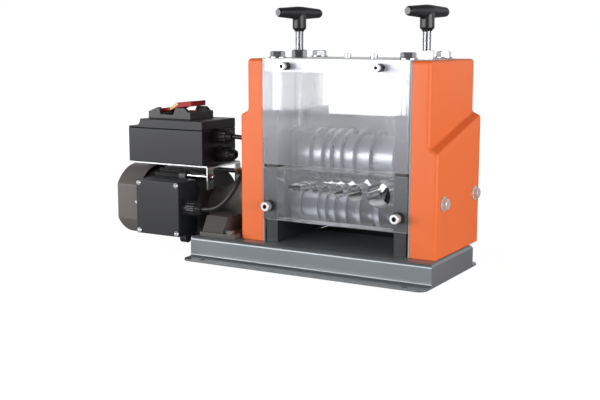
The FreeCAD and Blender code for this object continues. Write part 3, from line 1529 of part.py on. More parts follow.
lead_points = [gland_end(box_right, motor_gland_y, "motor_gland_z")]
lead_points += [Vector(*point) for point in LEAD_ROUTE]
lead_points.append(gland_end(gland_x, "upper_gland_y", "upper_gland_z"))
path = rounded_path(lead_points)
start_circle = Part.makeCircle(number("lead / 2"), lead_points[0], lead_points[1] - lead_points[0])
tube = path.makePipeShell([Part.Wire(start_circle)], True, False)
expected = math.pi * number("lead / 2") ** 2 * path.Length
print("motor lead volume over section times length: %.4f" % (tube.Volume / expected))
lead = doc.addObject("Part::Feature", "lead")
lead.Shape = tube
sub_part("motor_lead", lead)

# Every object must be sound before anything is written.
doc.recompute()
for item in doc.Objects:
    if "Invalid" in item.State or "Error" in item.State:
        raise RuntimeError("%s is %s" % (item.Label, item.State))
os.makedirs("parts", exist_ok=True)
for item in sub_parts:
    if item.Shape.isNull() or not item.Shape.isValid() or not item.Shape.Solids:
        raise RuntimeError("%s has no sound shape" % item.Label)
for item in sub_parts:
    item.Shape.exportStep("parts/%s.step" % item.Label)
print("%d sub-parts written" % len(sub_parts))
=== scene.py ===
"""Bench wire stripping machine: the look of every piece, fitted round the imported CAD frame."""

import json
import math

import bmesh
import bpy
from mathutils import Euler, Matrix, Vector

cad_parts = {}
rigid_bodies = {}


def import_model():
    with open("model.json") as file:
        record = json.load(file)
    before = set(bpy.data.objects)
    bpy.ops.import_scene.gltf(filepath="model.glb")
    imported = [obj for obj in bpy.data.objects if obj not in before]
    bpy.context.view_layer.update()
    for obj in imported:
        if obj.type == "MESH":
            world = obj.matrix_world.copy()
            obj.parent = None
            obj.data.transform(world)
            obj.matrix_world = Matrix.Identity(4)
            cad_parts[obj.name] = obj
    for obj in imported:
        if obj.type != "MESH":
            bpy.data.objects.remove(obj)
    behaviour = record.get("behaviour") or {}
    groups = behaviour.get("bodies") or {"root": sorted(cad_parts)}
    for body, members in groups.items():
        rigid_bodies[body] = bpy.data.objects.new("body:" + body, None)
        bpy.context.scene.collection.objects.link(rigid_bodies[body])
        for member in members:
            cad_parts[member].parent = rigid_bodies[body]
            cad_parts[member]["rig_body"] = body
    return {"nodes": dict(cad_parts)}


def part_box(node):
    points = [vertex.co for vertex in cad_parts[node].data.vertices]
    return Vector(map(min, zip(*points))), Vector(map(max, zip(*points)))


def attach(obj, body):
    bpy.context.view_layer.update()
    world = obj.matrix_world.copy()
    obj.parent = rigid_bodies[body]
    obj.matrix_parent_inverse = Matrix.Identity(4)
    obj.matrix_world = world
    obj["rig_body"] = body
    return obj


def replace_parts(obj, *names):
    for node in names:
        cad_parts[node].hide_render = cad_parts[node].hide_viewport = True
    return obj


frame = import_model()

scene = bpy.context.scene
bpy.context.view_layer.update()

# The studio: a white table that runs into a white surround, and a camera on the right, nearly as high as
# the machine. Two low soft boxes stand in front, one on each side, and a weak one hangs above. The room
# behind the camera and above it is dark, and shows only in reflections.

scene.view_settings.view_transform = "Standard"
camera = bpy.data.objects.new("camera", bpy.data.cameras.new("camera"))
camera.data.lens = 60.65
camera.data.sensor_width = 36
eye = (0.6658, -1.2305, 0.3138)
yaw, pitch, roll = 30.09, 9.13, 0.08
look = Euler((math.radians(90 - pitch), 0, math.radians(yaw))).to_matrix().to_4x4()
camera.matrix_world = Matrix.Translation(eye) @ look @ Matrix.Rotation(math.radians(roll), 4, "Z")
scene.collection.objects.link(camera)
scene.camera = camera


def node(tree, kind, inputs=(), **settings):
    """Add a node to a tree; inputs maps a socket to a value or to another node's output."""
    made = tree.nodes.new(kind)
    for name, value in settings.items():
        setattr(made, name, value)
    for socket, value in dict(inputs).items():
        if isinstance(value, bpy.types.NodeSocket):
            tree.links.new(value, made.inputs[socket])
        else:
            made.inputs[socket].default_value = value
    return made


def sum_of(tree, kind, *values):
    """The result of one kind of sum, such as DIVIDE, on numbers or other sums."""
    return node(tree, "ShaderNodeMath", dict(enumerate(values)), operation=kind).outputs[0]


def times(tree, first, second):
    """Two numbers or sums multiplied."""
    return sum_of(tree, "MULTIPLY", first, second)


def minus(tree, first, second):
    """The second number or sum taken from the first."""
    return sum_of(tree, "SUBTRACT", first, second)


def ramp(tree, value, start, end, low, high, kind="LINEAR"):
    """A number that runs from low to high while value runs from start to end."""
    return node(tree, "ShaderNodeMapRange", {0: value, 1: start, 2: end, 3: low, 4: high},
                interpolation_type=kind).outputs[0]


def mix(tree, share, first, second):
    """Two shaders in one; share is how much of the second."""
    return node(tree, "ShaderNodeMixShader", {0: share, 1: first, 2: second}).outputs[0]


def rays(tree):
    """Two numbers: 1 for light that has bounced off a matt surface, and 1 for light that was mirrored."""
    path = node(tree, "ShaderNodeLightPath").outputs
    return [sum_of(tree, "GREATER_THAN", path[kind], 0.5) for kind in ("Diffuse Depth", "Glossy Depth")]


AMBIENT_LIGHT, BACKDROP_LIGHT = 0.13, 1.02
world = bpy.data.worlds.new("surround")
world.use_nodes = True
scene.world = world
tree = world.node_tree
tree.nodes.clear()
matt_ray, mirrored = rays(tree)
direction = node(tree, "ShaderNodeTexCoord").outputs["Generated"]
toward = node(tree, "ShaderNodeSeparateXYZ", {0: direction}).outputs
behind = ramp(tree, toward["Y"], -0.1, 0.25, 0.05, 0.8, "SMOOTHSTEP")
ceiling = ramp(tree, toward["Z"], 0.3, 0.6, 1, 0.08, "SMOOTHSTEP")
backgrounds = [node(tree, "ShaderNodeBackground", {"Color": colour, "Strength": strength}).outputs[0]
               for colour, strength in (((1, 1, 1, 1), BACKDROP_LIGHT),
                                        ((0.97, 0.98, 1, 1), times(tree, behind, ceiling)),
                                        ((0.90, 0.94, 1, 1), times(tree, ceiling, AMBIENT_LIGHT)))]
backdrop, reflected, ambient = backgrounds
surround = mix(tree, matt_ray, mix(tree, mirrored, backdrop, reflected), ambient)
node(tree, "ShaderNodeOutputWorld", {"Surface": surround})

TABLE_REACH = 6
table = bpy.data.meshes.new("table")
table.from_pydata([(x * TABLE_REACH, y * TABLE_REACH, 0) for x, y in ((-1, -1), (1, -1), (1, 1), (-1, 1))],
                  [], [(0, 1, 2, 3)])
table_top = bpy.data.objects.new("table", table)
scene.collection.objects.link(table_top)
paper = bpy.data.materials.new("white paper")
paper.use_nodes = True
tree = paper.node_tree
tree.nodes.clear()
matt = node(tree, "ShaderNodeBsdfDiffuse", {"Color": (0.86, 0.86, 0.86, 1)}).outputs[0]
glow = node(tree, "ShaderNodeEmission", {"Color": (1, 1, 1, 1), "Strength": 1.08}).outputs[0]
spot = node(tree, "ShaderNodeTexCoord").outputs["Object"]
away = node(tree, "ShaderNodeVectorMath", {0: spot}, operation="LENGTH").outputs["Value"]
bright = ramp(tree, away, 0.25, 0.6, 0.9, 1, "SMOOTHSTEP")
direct = minus(tree, 1, sum_of(tree, "MAXIMUM", *rays(tree)))
white = mix(tree, times(tree, bright, direct), matt, glow)
node(tree, "ShaderNodeOutputMaterial", {"Surface": white})
table.materials.append(paper)

SOFT_BOXES = (
    ("left soft box", (-1.5, -2.15, 0.48), (3.2, 0.9), 60),
    ("right soft box", (2.35, -0.6, 0.48), (2.2, 0.9), 43),
    ("top soft box", (-0.1, 0.2, 2.3), (2.2, 1.8), 2.5),
)
AIM = Vector((0, 0, 0.15))
for name, spot, size, power in SOFT_BOXES:
    lamp = bpy.data.lights.new(name, "AREA")
    lamp.shape = "RECTANGLE"
    lamp.size, lamp.size_y = size
    lamp.energy = power
    soft_box = bpy.data.objects.new(name, lamp)
    turned = (AIM - Vector(spot)).to_track_quat("-Z", "Y").to_matrix().to_4x4()
    soft_box.matrix_world = Matrix.Translation(spot) @ turned
    scene.collection.objects.link(soft_box)

# The base: one steel sheet, folded down at the front and back into a channel with flanges.
# Its folds are rounded and the whole is painted in metallic blue grey.


def finish(name, colour, rough, metal=0.0, grain=900, depth=0.02, shade=0.05, spread=0.06,
           stretch=(1, 1, 1), coat=0.0, shine=0.5):
    """A surface with a fine grain (per metre, depth in mm) and slow changes of shade and gloss."""
    made = bpy.data.materials.new(name)
    made.use_nodes = True
    tree = made.node_tree
    shader = tree.nodes["Principled BSDF"]
    spot = node(tree, "ShaderNodeTexCoord").outputs["Object"]
    turned = node(tree, "ShaderNodeMapping", {"Vector": spot, "Scale": stretch}).outputs[0]
    fine = node(tree, "ShaderNodeTexNoise", {"Vector": turned, "Scale": grain, "Detail": 3}).outputs[0]
    slow = node(tree, "ShaderNodeTexNoise", {"Vector": spot, "Scale": 14, "Detail": 5}).outputs[0]
    blend = sum_of(tree, "ADD", fine, slow)
    level = ramp(tree, blend, 0.6, 1.4, 1 - shade, 1 + shade)
    tint = node(tree, "ShaderNodeVectorMath", {0: colour, "Scale": level}, operation="SCALE").outputs[0]
    gloss = ramp(tree, blend, 0.6, 1.4, rough - spread, rough + spread)
    relief = node(tree, "ShaderNodeBump",
                  {"Height": fine, "Strength": 0.6, "Distance": depth / 1000}).outputs[0]
    for socket, source in (("Base Color", tint), ("Roughness", gloss), ("Normal", relief)):
        tree.links.new(source, shader.inputs[socket])
    shader.inputs["Metallic"].default_value = metal
    shader.inputs["Specular IOR Level"].default_value = shine
    shader.inputs["Coat Weight"].default_value = coat
    shader.inputs["Coat Roughness"].default_value = 0.12
    return made


def copy_solid(node_name, ending):
    """A CAD solid's mesh as an object of its own, named after its node."""
    source = frame["nodes"][node_name].data
    mesh = bpy.data.meshes.new(node_name + ending)
    mesh.from_pydata([v.co for v in source.vertices], [], [list(p.vertices) for p in source.polygons])
    piece = bpy.data.objects.new(node_name + ending, mesh)
    scene.collection.objects.link(piece)
    return piece


def break_edges(piece, width, **settings):
    """Break a piece's sharp edges by width metres, with two narrow faces along each."""
    broken = piece.modifiers.new("broken edges", "BEVEL")
    broken.width = width
    broken.segments = 2
    for name, value in settings.items():
        setattr(broken, name, value)


def deburr(node_name, material, edge=0.0004, corner=30):
    """A merged copy of a CAD solid, its sharp edges broken by edge metres, that stands for the solid."""
    piece = copy_solid(node_name, "_finished")
    form = bmesh.new()
    form.from_mesh(piece.data)
    bmesh.ops.remove_doubles(form, verts=form.verts, dist=2e-6)
    bmesh.ops.dissolve_limit(form, angle_limit=math.radians(0.5), verts=form.verts, edges=form.edges)
    form.to_mesh(piece.data)
    form.free()
    piece.data.shade_smooth()
    piece.data.materials.append(material)
    break_edges(piece, edge, angle_limit=math.radians(corner), use_clamp_overlap=False, harden_normals=True)
    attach(piece, frame["nodes"][node_name]["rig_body"])
    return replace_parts(piece, node_name)


base_paint = finish("blue grey metallic paint", (0.215, 0.236, 0.251), 0.3, metal=0.62, shade=0.03,
                    spread=0.02)
deburr("base_frame", base_paint, edge=0.0006)

# The side frames: two thick ground steel plates, each with a window in which a bearing block slides.
# They stand on the base, and carry the rollers, the clear guards and the top plate.

frame_steel = finish("dark ground steel", (0.030, 0.032, 0.034), 0.42, metal=0.25, grain=1500, shade=0.1,
                     stretch=(1, 0.06, 1), depth=0.01)
for side in ("left", "right"):
    deburr(side + "_side_frame", frame_steel, edge=0.0005)

# The frames' screws: cap screws turned from bar, with a ribbed round head and a hexagon socket.
# They are plated with bright zinc, and come up through the base into both ends of each frame.


def start_tree(name, sizes, source="Places"):
    """A tree, all in metres, that takes a source, its named sizes and a finish. Gives it and its inputs."""
    tree = bpy.data.node_groups.new(name, "GeometryNodeTree")
    tree.interface.new_socket(source, in_out="INPUT", socket_type="NodeSocketGeometry")
    for size in sizes:
        tree.interface.new_socket(size, in_out="INPUT", socket_type="NodeSocketFloat")
    tree.interface.new_socket("Finish", in_out="INPUT", socket_type="NodeSocketMaterial")
    tree.interface.new_socket("Result", in_out="OUTPUT", socket_type="NodeSocketGeometry")
    return tree, tree.nodes.new("NodeGroupInput").outputs


def plus(tree, first, second):
    """Two numbers or sums added."""
    return sum_of(tree, "ADD", first, second)


def vector(tree, x=0.0, y=0.0, z=0.0):
    """Three numbers or sums as one vector."""
    return node(tree, "ShaderNodeCombineXYZ", {0: x, 1: y, 2: z}).outputs[0]


def raised(tree, form, height):
    """A form moved up on Z."""
    return node(tree, "GeometryNodeTransform", {0: form, "Translation": vector(tree, z=height)}).outputs[0]


def barrel(tree, diameter, start, end, sides=48, taper=0.0):
    """A solid from start to end on Z; taper is how much wider its start is than its end."""
    radius = times(tree, diameter, 0.5)
    form = node(tree, "GeometryNodeMeshCone", {
        "Vertices": sides, "Radius Top": radius, "Radius Bottom": plus(tree, radius, taper),
        "Depth": minus(tree, end, start)}).outputs["Mesh"]
    return raised(tree, form, start)


FACES_PER_RIB = 4.0


def ribbed(tree, diameter, depth, middle, ribs, sink):
    """A cylinder round a middle height, with ribs; the grooves between take a share, sink, of its radius."""
    sides = node(tree, "FunctionNodeFloatToInt", {0: times(tree, ribs, FACES_PER_RIB)}).outputs[0]
    blank = node(tree, "GeometryNodeMeshCylinder", {
        "Vertices": sides, "Radius": times(tree, diameter, 0.5), "Depth": depth}).outputs["Mesh"]
    step = sum_of(tree, "MODULO", node(tree, "GeometryNodeInputIndex").outputs[0], FACES_PER_RIB)
    groove = sum_of(tree, "LESS_THAN", step, 1.5)
    narrow = minus(tree, 1.0, times(tree, groove, sink))
    place = node(tree, "GeometryNodeInputPosition").outputs[0]
    drawn_in = node(tree, "ShaderNodeVectorMath", {0: place, 1: vector(tree, narrow, narrow, 1.0)},
                    operation="MULTIPLY").outputs[0]
    return node(tree, "GeometryNodeSetPosition", {
        0: blank, "Position": drawn_in, "Offset": vector(tree, z=middle)}).outputs[0]


def combine(tree, kind, first, *others):
    """Mesh boolean: INTERSECT, UNION or DIFFERENCE of forms."""
    made = node(tree, "GeometryNodeMeshBoolean", operation=kind, solver="EXACT")
    if kind == "DIFFERENCE":
        tree.links.new(first, made.inputs[0])
    else:
        others = (first,) + others
    for other in others:
        tree.links.new(other, made.inputs[1])
    return made.outputs[0]


def join(tree, *forms):
    """Forms put together as they are."""
    joined = node(tree, "GeometryNodeJoinGeometry")
    for form in forms:
        tree.links.new(form, joined.inputs[0])
    return joined.outputs[0]


def end_tree(tree, given, form):
    """Make the form's copies real and give it its finish, as the tree's result."""
    solid = node(tree, "GeometryNodeRealizeInstances", {0: form}).outputs[0]
    coated = node(tree, "GeometryNodeSetMaterial", {0: solid, "Material": given["Finish"]}).outputs[0]
    node(tree, "NodeGroupOutput", {0: coated})
    return tree


def repeat(tree, given, form):
    """Put the form on every place, along its axis and turned at random, and end the tree."""
    axis = node(tree, "GeometryNodeInputNamedAttribute", {0: "axis"}, data_type="FLOAT_VECTOR").outputs[0]
    spin = node(tree, "FunctionNodeRandomValue", {3: 6.283, "Seed": 7}, data_type="FLOAT").outputs[1]
    turned = node(tree, "FunctionNodeAlignRotationToVector",
                  {"Rotation": vector(tree, z=spin), "Vector": axis}, axis="Z").outputs[0]
    on_places = node(tree, "GeometryNodeInstanceOnPoints",
                     {0: given["Places"], "Instance": form, "Rotation": turned}).outputs[0]
    return end_tree(tree, given, on_places)


# These sizes of a tree are numbers of things, and the others are lengths.
COUNTS = ("Ribs", "Teeth")


def grow(piece, tree, material, **sizes):
    """Run a tree on a piece, with its sizes in mm, and leave what it makes there as a plain mesh."""
    run = piece.modifiers.new(tree.name, "NODES")
    run.node_group = tree
    for item in tree.interface.items_tree:
        size = item.name.replace(" ", "_")
        if size in sizes:
            run[item.identifier] = float(sizes[size]) if item.name in COUNTS else sizes[size] / 1000
        elif item.name == "Finish":
            run[item.identifier] = material
    result = bpy.data.meshes.new_from_object(piece.evaluated_get(bpy.context.evaluated_depsgraph_get()))
    piece.modifiers.clear()
    piece.data = result
    result.shade_smooth()
    result.set_sharp_from_angle(angle=math.radians(30))


def set_out(name, tree, places, body, material, edge=0.00015, **sizes):
    """Run a tree on places, each a point in mm and an axis, and break the edges of what it makes by edge."""
    mesh = bpy.data.meshes.new(name)
    mesh.from_pydata([Vector(spot) / 1000 for spot, axis in places], [], [])
    axes = mesh.attributes.new("axis", "FLOAT_VECTOR", "POINT")
    axes.data.foreach_set("vector", [part for spot, axis in places for part in axis])
    piece = bpy.data.objects.new(name, mesh)
    scene.collection.objects.link(piece)
    grow(piece, tree, material, **sizes)
    if edge:
        break_edges(piece, edge, harden_normals=True)
    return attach(piece, body)


# A shank reaches BITE metres into its head, and a cutter goes PAST metres beyond what it cuts.
# The cone that chamfers a cap screw's head starts CONE_FOOT metres below it.
BITE, PAST, CONE_FOOT = 0.0001, 0.001, 0.01
CORNERS_OVER_FLATS = 1.1547
tree, given = start_tree("cap screw", ("Head", "Height", "Ribs", "Socket", "Socket depth", "Shank",
                                       "Shank length"))
head = ribbed(tree, given["Head"], given["Height"], times(tree, given["Height"], 0.5), given["Ribs"], 0.03)
chamfer = barrel(tree, times(tree, given["Head"], 0.93), -CONE_FOOT, given["Height"], 64,
                 plus(tree, given["Height"], CONE_FOOT))
socket = barrel(tree, times(tree, given["Socket"], CORNERS_OVER_FLATS),
                minus(tree, given["Height"], given["Socket depth"]), plus(tree, given["Height"], PAST), 6)
head = combine(tree, "DIFFERENCE", combine(tree, "INTERSECT", head, chamfer), socket)
shank = barrel(tree, given["Shank"], times(tree, given["Shank length"], -1.0), BITE, 32)
cap_screw = repeat(tree, given, join(tree, head, shank))

FRAMES_X, FRAME_SCREWS_Y, SHEET_UNDERSIDE = (-63, 132), (-35, 85), 29
UP, DOWN = (0, 0, 1), (0, 0, -1)
zinc = finish("bright zinc", (0.54, 0.55, 0.57), 0.2, metal=1, grain=2600, shade=0.08, depth=0.006)
under_base = [((x, y, SHEET_UNDERSIDE), DOWN) for x in FRAMES_X for y in FRAME_SCREWS_Y]
screws = set_out("frame_screws_turned", cap_screw, under_base, "machine", zinc, Head=12.8, Height=8, Ribs=30,
                 Socket=6, Socket_depth=4, Shank=8, Shank_length=21)
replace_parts(screws, "frame_screws")

# Four ball bearings carry the two shafts: each has a race outside and inside and a shield between.
# The lower pair sits in the frames, and the upper pair in the sliding blocks.


def turn(form, profile, axis, centre, steps=96, shut=True):
    """Add to a bmesh a solid turned on an axis; profile is (place on the axis, radius) in mm."""
    along = "XYZ".index(axis)
    rings = []
    for place, radius in profile:
        ring = []
        for step in range(steps if radius > 0 else 1):
            angle = 2 * math.pi * step / steps
            spot = Vector(centre)
            spot[along] += place
            spot[(along + 1) % 3] += radius * math.cos(angle)
            spot[(along + 2) % 3] += radius * math.sin(angle)
            ring.append(form.verts.new(spot / 1000))
        rings.append(ring)
    for inner, outer in zip(rings, rings[1:] + rings[:1] if shut else rings[1:]):
        for step in range(steps):
            nearby = (step + 1) % steps
            corners = [inner[step % len(inner)], outer[step % len(outer)],
                       outer[nearby % len(outer)], inner[nearby % len(inner)]]
            corners = [corner for place, corner in enumerate(corners) if corner not in corners[:place]]
            if len(corners) > 2:
                form.faces.new(corners)


def raw_piece(name, form, corner=30):
    """A bmesh as an object with no finish yet, smooth but for edges sharper than corner."""
    bmesh.ops.recalc_face_normals(form, faces=form.faces)
    mesh = bpy.data.meshes.new(name)
    form.to_mesh(mesh)
    form.free()
    mesh.shade_smooth()
    mesh.set_sharp_from_angle(angle=math.radians(corner))
    piece = bpy.data.objects.new(name, mesh)
    scene.collection.objects.link(piece)
    return piece


def keep(name, form, material, body, *stands_for, corner=30):
    """Keep a bmesh as a finished piece on a body, in place of the CAD nodes that it stands for."""
    piece = raw_piece(name, form, corner)
    piece.data.materials.append(material)
    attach(piece, body)
    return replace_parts(piece, *stands_for) if stands_for else piece


def tube(start, end, bore, outer, edge=0.4):
    """The profile of a ring or tube whose four edges are broken; bore and outer are radii."""
    return [(start, bore + edge), (start + edge, bore), (end - edge, bore), (end, bore + edge),
            (end, outer - edge), (end - edge, outer), (start + edge, outer), (start, outer - edge)]


CENTRE_X, CENTRE_Y = 34.5, 25
FEED_AXIS = (CENTRE_X, CENTRE_Y, 81)
BLADE_AXIS = (CENTRE_X, CENTRE_Y, 151)
BEARING_STARTS, BEARING_WIDTH = (-106.2, 94.2), 12
INNER_RACE, OUTER_RACE = (10.05, 12), (17.5, 20.98)
SHIELD = ((0.4, 11.9), (0.4, 13.5), (0.9, 14), (0.9, 16.5), (0.5, 17.6))
bright_steel = finish("bright turned steel", (0.68, 0.69, 0.71), 0.2, metal=1, grain=2400, shade=0.06,
                      stretch=(1, 0.05, 0.05), depth=0.006)
for pair, centre, body in (("lower_bearings", FEED_AXIS, "machine"),
                           ("upper_bearings", BLADE_AXIS, "blade_carriage")):
    form = bmesh.new()
    for start in BEARING_STARTS:
        end = start + BEARING_WIDTH
        for race in (OUTER_RACE, INNER_RACE):
            turn(form, tube(start, end, *race), "X", centre)
        shield = [(start + inset, radius) for inset, radius in SHIELD]
        shield += [(end - inset, radius) for inset, radius in reversed(SHIELD)]
        turn(form, shield, "X", centre)
    keep(pair + "_turned", form, bright_steel, body, pair)

# The sliding bearing blocks: cast iron, machined all over, with a lip that the cap closes on top.
# The adjusting screw's collar is held under the cap, so that a turn of the screw lifts the block.

block_iron = finish("machined iron", (0.16, 0.165, 0.17), 0.36, metal=0.8, grain=1500, shade=0.1,
                    stretch=(1, 1, 0.1))
for side in ("left", "right"):
    deburr(side + "_bearing_block", block_iron, edge=0.0005)
deburr("thrust_caps", zinc, edge=0.0004)

# The blade shaft is turned from bright bar, and a feather key drives its gear.
# Its round blades are ground from tool steel, with a turned spacer between each pair.

deburr("blade_shaft", bright_steel, edge=0.0002, corner=25)
blade_steel = finish("ground tool steel", (0.40, 0.41, 0.43), 0.28, metal=1, grain=1800, shade=0.08,
                     stretch=(1, 0.04, 0.04), depth=0.006)
spacer_steel = finish("turned spacer steel", (0.36, 0.37, 0.39), 0.4, metal=1, grain=2400, shade=0.06,
                      stretch=(1, 0.05, 0.05), depth=0.006)

# The guide has a flat slot at its left and six round channels, wider and wider toward the right.
# One blade stands over the middle of each, so the channels are set out here, from the right.
ROUND_CHANNELS, SLOT, WALL, CHANNELS_END = (34, 22, 15, 11, 8, 6), 20, 6.4, 119.5
edge = CHANNELS_END
channels = []
for width in (*ROUND_CHANNELS, SLOT):
    channels.append((edge - width / 2, width / 2))
    edge -= width + WALL
channels.sort()
bores = channels[1:]

BLADE, BLADE_HALF, BEVEL, EDGE_HALF = 38, 1.25, 4, 0.1
SPACER, SPACER_EDGE, BORE, ROW_START, ROW_END = 30, 0.8, 12.55, -49.2, 118.2
blades, spacers = bmesh.new(), bmesh.new()
start = ROW_START
for place, half in channels:
    x = place - CENTRE_X
    turn(blades, [(x - BLADE_HALF, BORE), (x + BLADE_HALF, BORE), (x + BLADE_HALF, BLADE - BEVEL),
                  (x + EDGE_HALF, BLADE), (x - EDGE_HALF, BLADE), (x - BLADE_HALF, BLADE - BEVEL)],
         "X", BLADE_AXIS, 144)
    turn(spacers, tube(start - CENTRE_X, x - BLADE_HALF, BORE, SPACER, SPACER_EDGE), "X", BLADE_AXIS, 128)
    start = place + BLADE_HALF
turn(spacers, tube(start - CENTRE_X, ROW_END - CENTRE_X, BORE, SPACER, SPACER_EDGE), "X", BLADE_AXIS, 128)
keep("blades_ground", blades, blade_steel, "blade_roller", "blade_discs", corner=5)
keep("blade_spacers_turned", spacers, spacer_steel, "blade_roller", "blade_spacers")

# The feed shaft carries the feed roller, turned from bar and cut with fine teeth that grip the cable.
# A round groove under each channel centres the cable, and flat lands stand between the grooves.

deburr("feed_shaft", bright_steel, edge=0.0002, corner=25)
knurled_steel = finish("knurled steel", (0.22, 0.23, 0.25), 0.4, metal=1, grain=1500, shade=0.1, depth=0.006)
ROLLER, ROLLER_START, ROLLER_END, ROLLER_EDGE = 30, -52, 121, 0.8
TEETH, TOOTH, SLOT_DEPTH, ARC_STEPS = 112, 0.35, 3.5, 10
start = ROLLER_START - CENTRE_X
end = ROLLER_END - CENTRE_X
slot_start, slot_end = (channels[0][0] - CENTRE_X + way * SLOT / 2 for way in (-1, 1))
profile = [(start, BORE), (start, ROLLER - ROLLER_EDGE), (start + ROLLER_EDGE, ROLLER),
           (slot_start, ROLLER), (slot_start, ROLLER - SLOT_DEPTH),
           (slot_end, ROLLER - SLOT_DEPTH), (slot_end, ROLLER)]
for middle, half in bores:
    for part in range(ARC_STEPS + 1):
        angle = math.pi * part / ARC_STEPS
        profile.append((middle - CENTRE_X - half * math.cos(angle), ROLLER - half * math.sin(angle)))
profile += [(end - ROLLER_EDGE, ROLLER), (end, ROLLER - ROLLER_EDGE), (end, BORE)]
roller = bmesh.new()
turn(roller, profile, "X", FEED_AXIS, 4 * TEETH)
roller = raw_piece("feed_roller_knurled", roller)

# Only the outside is cut: a point within this many metres of the bore stays where it is.
BORE_RIM = 0.0004
tree, given = start_tree("knurling", ("Teeth", "Tooth depth", "Bore", "Axis y", "Axis z"), "Roller")
spot = node(tree, "GeometryNodeInputPosition").outputs[0]
axis = vector(tree, 0.0, given["Axis y"], given["Axis z"])
arm = node(tree, "ShaderNodeVectorMath", {0: spot, 1: axis}, operation="SUBTRACT").outputs[0]
arm = node(tree, "ShaderNodeVectorMath", {0: arm, 1: (0, 1, 1)}, operation="MULTIPLY").outputs[0]
parts = node(tree, "ShaderNodeSeparateXYZ", {0: arm}).outputs
angle = sum_of(tree, "ARCTAN2", parts["Z"], parts["Y"])
wave = sum_of(tree, "PINGPONG", times(tree, sum_of(tree, "DIVIDE", angle, math.pi), given["Teeth"]), 1.0)
radius = node(tree, "ShaderNodeVectorMath", {0: arm}, operation="LENGTH").outputs["Value"]
outside = sum_of(tree, "GREATER_THAN", radius, plus(tree, given["Bore"], BORE_RIM))
sink = times(tree, times(tree, wave, given["Tooth depth"]), outside)
inward = node(tree, "ShaderNodeVectorMath", {0: arm}, operation="NORMALIZE").outputs[0]
inward = node(tree, "ShaderNodeVectorMath", {0: inward, "Scale": times(tree, sink, -1.0)},
              operation="SCALE").outputs[0]
cut = node(tree, "GeometryNodeSetPosition", {0: given["Roller"], "Offset": inward}).outputs[0]
end_tree(tree, given, cut)
grow(roller, tree, knurled_steel, Teeth=TEETH, Tooth_depth=TOOTH, Bore=BORE, Axis_y=CENTRE_Y,
     Axis_z=FEED_AXIS[2])
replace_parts(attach(roller, "feed_drive"), "feed_roller")

# A pair of meshing spur gears inside the right cover turns the two rollers against each other.
# They are hobbed steel, and a ring in a groove keeps each on its shaft.

gear_steel = finish("oiled gear steel", (0.34, 0.34, 0.345), 0.28, metal=1, grain=1400, shade=0.12,
                    depth=0.01)
for part in ("feed_gear", "blade_gear"):
    deburr(part, gear_steel, edge=0.0003, corner=25)
for part in ("feed_ring", "blade_ring"):
    deburr(part, gear_steel, edge=0.0001, corner=25)

# Four turned pillars stand on the frames and carry the top plate, a thick bright aluminium slab.
# They are tubes of plated steel, and a long bolt goes down through each.

PILLARS_Y, PILLAR_FOOT, PILLAR_TOP, PLATE_TOP = (-34, 84), 215, 268, 286
pillars = bmesh.new()
pillar_spots = [(x, y) for x in FRAMES_X for y in PILLARS_Y]
for x, y in pillar_spots:
    turn(pillars, tube(PILLAR_FOOT, PILLAR_TOP, 6.05, 7.5, 0.5), "Z", (x, y, 0), 64)
plated_steel = finish("plated steel tube", (0.80, 0.81, 0.83), 0.3, metal=0.7, grain=1800, shade=0.05,
                      depth=0.006)
keep("frame_pillars_turned", pillars, plated_steel, "machine", "frame_pillars")
aluminium = finish("brushed aluminium", (0.96, 0.965, 0.97), 0.34, metal=0.2, grain=2600, shade=0.04,
                   stretch=(0.03, 1, 1), depth=0.006)
deburr("top_plate", aluminium, edge=0.0003)

# The pillar bolts: forged steel with bright zinc, the corners of the hexagon turned back to a chamfer.
# One goes down through each pillar, with a washer. The same form with a bore and no shank is a nut.

CHAMFER_SLOPE = 1.732


def hexagon_form(tree, flats, start, height, top, face):
    """A hexagon from start to top; its corners are turned back to a face of that share of its flats."""
    blank = barrel(tree, times(tree, flats, CORNERS_OVER_FLATS), start, top, 6)
    chamfer = barrel(tree, times(tree, flats, face), start, top, 96, times(tree, height, CHAMFER_SLOPE))
    return combine(tree, "INTERSECT", blank, chamfer)


tree, given = start_tree("hexagon", ("Across flats", "Start", "Height", "Bore", "Shank", "Shank length"))
top = plus(tree, given["Start"], given["Height"])
head = hexagon_form(tree, given["Across flats"], given["Start"], given["Height"], top, 0.95)
drill = barrel(tree, given["Bore"], minus(tree, given["Start"], PAST), plus(tree, top, PAST))
is_nut = sum_of(tree, "GREATER_THAN", given["Bore"], 0.0001)
hexagon = node(tree, "GeometryNodeSwitch", {0: is_nut, 1: head, 2: combine(tree, "DIFFERENCE", head, drill)},
               input_type="GEOMETRY").outputs[0]
shank = barrel(tree, given["Shank"], times(tree, given["Shank length"], -1.0),
               plus(tree, given["Start"], BITE), 40)
has_shank = sum_of(tree, "GREATER_THAN", given["Shank"], 0.0001)
fixing = node(tree, "GeometryNodeSwitch", {0: has_shank, 1: hexagon, 2: join(tree, hexagon, shank)},
              input_type="GEOMETRY").outputs[0]
hexagon_fixing = repeat(tree, given, fixing)

# Washers are stamped from sheet, so their edges are rounded.
tree, given = start_tree("washer", ("Bore", "Outer", "Thickness", "Roundness"))
wide = minus(tree, given["Outer"], given["Bore"])
middle = times(tree, plus(tree, given["Outer"], given["Bore"]), 0.25)
ring = node(tree, "GeometryNodeCurvePrimitiveCircle", {"Resolution": 72, "Radius": middle}).outputs[0]
section = node(tree, "GeometryNodeCurvePrimitiveQuadrilateral",
               {0: times(tree, wide, 0.5), 1: given["Thickness"]}).outputs[0]
section = node(tree, "GeometryNodeFilletCurve", {0: section, "Count": 3, "Radius": given["Roundness"]},
               mode="POLY").outputs[0]
swept = node(tree, "GeometryNodeCurveToMesh", {0: ring, 1: section}).outputs[0]
washer = repeat(tree, given, raised(tree, swept, times(tree, given["Thickness"], 0.5)))

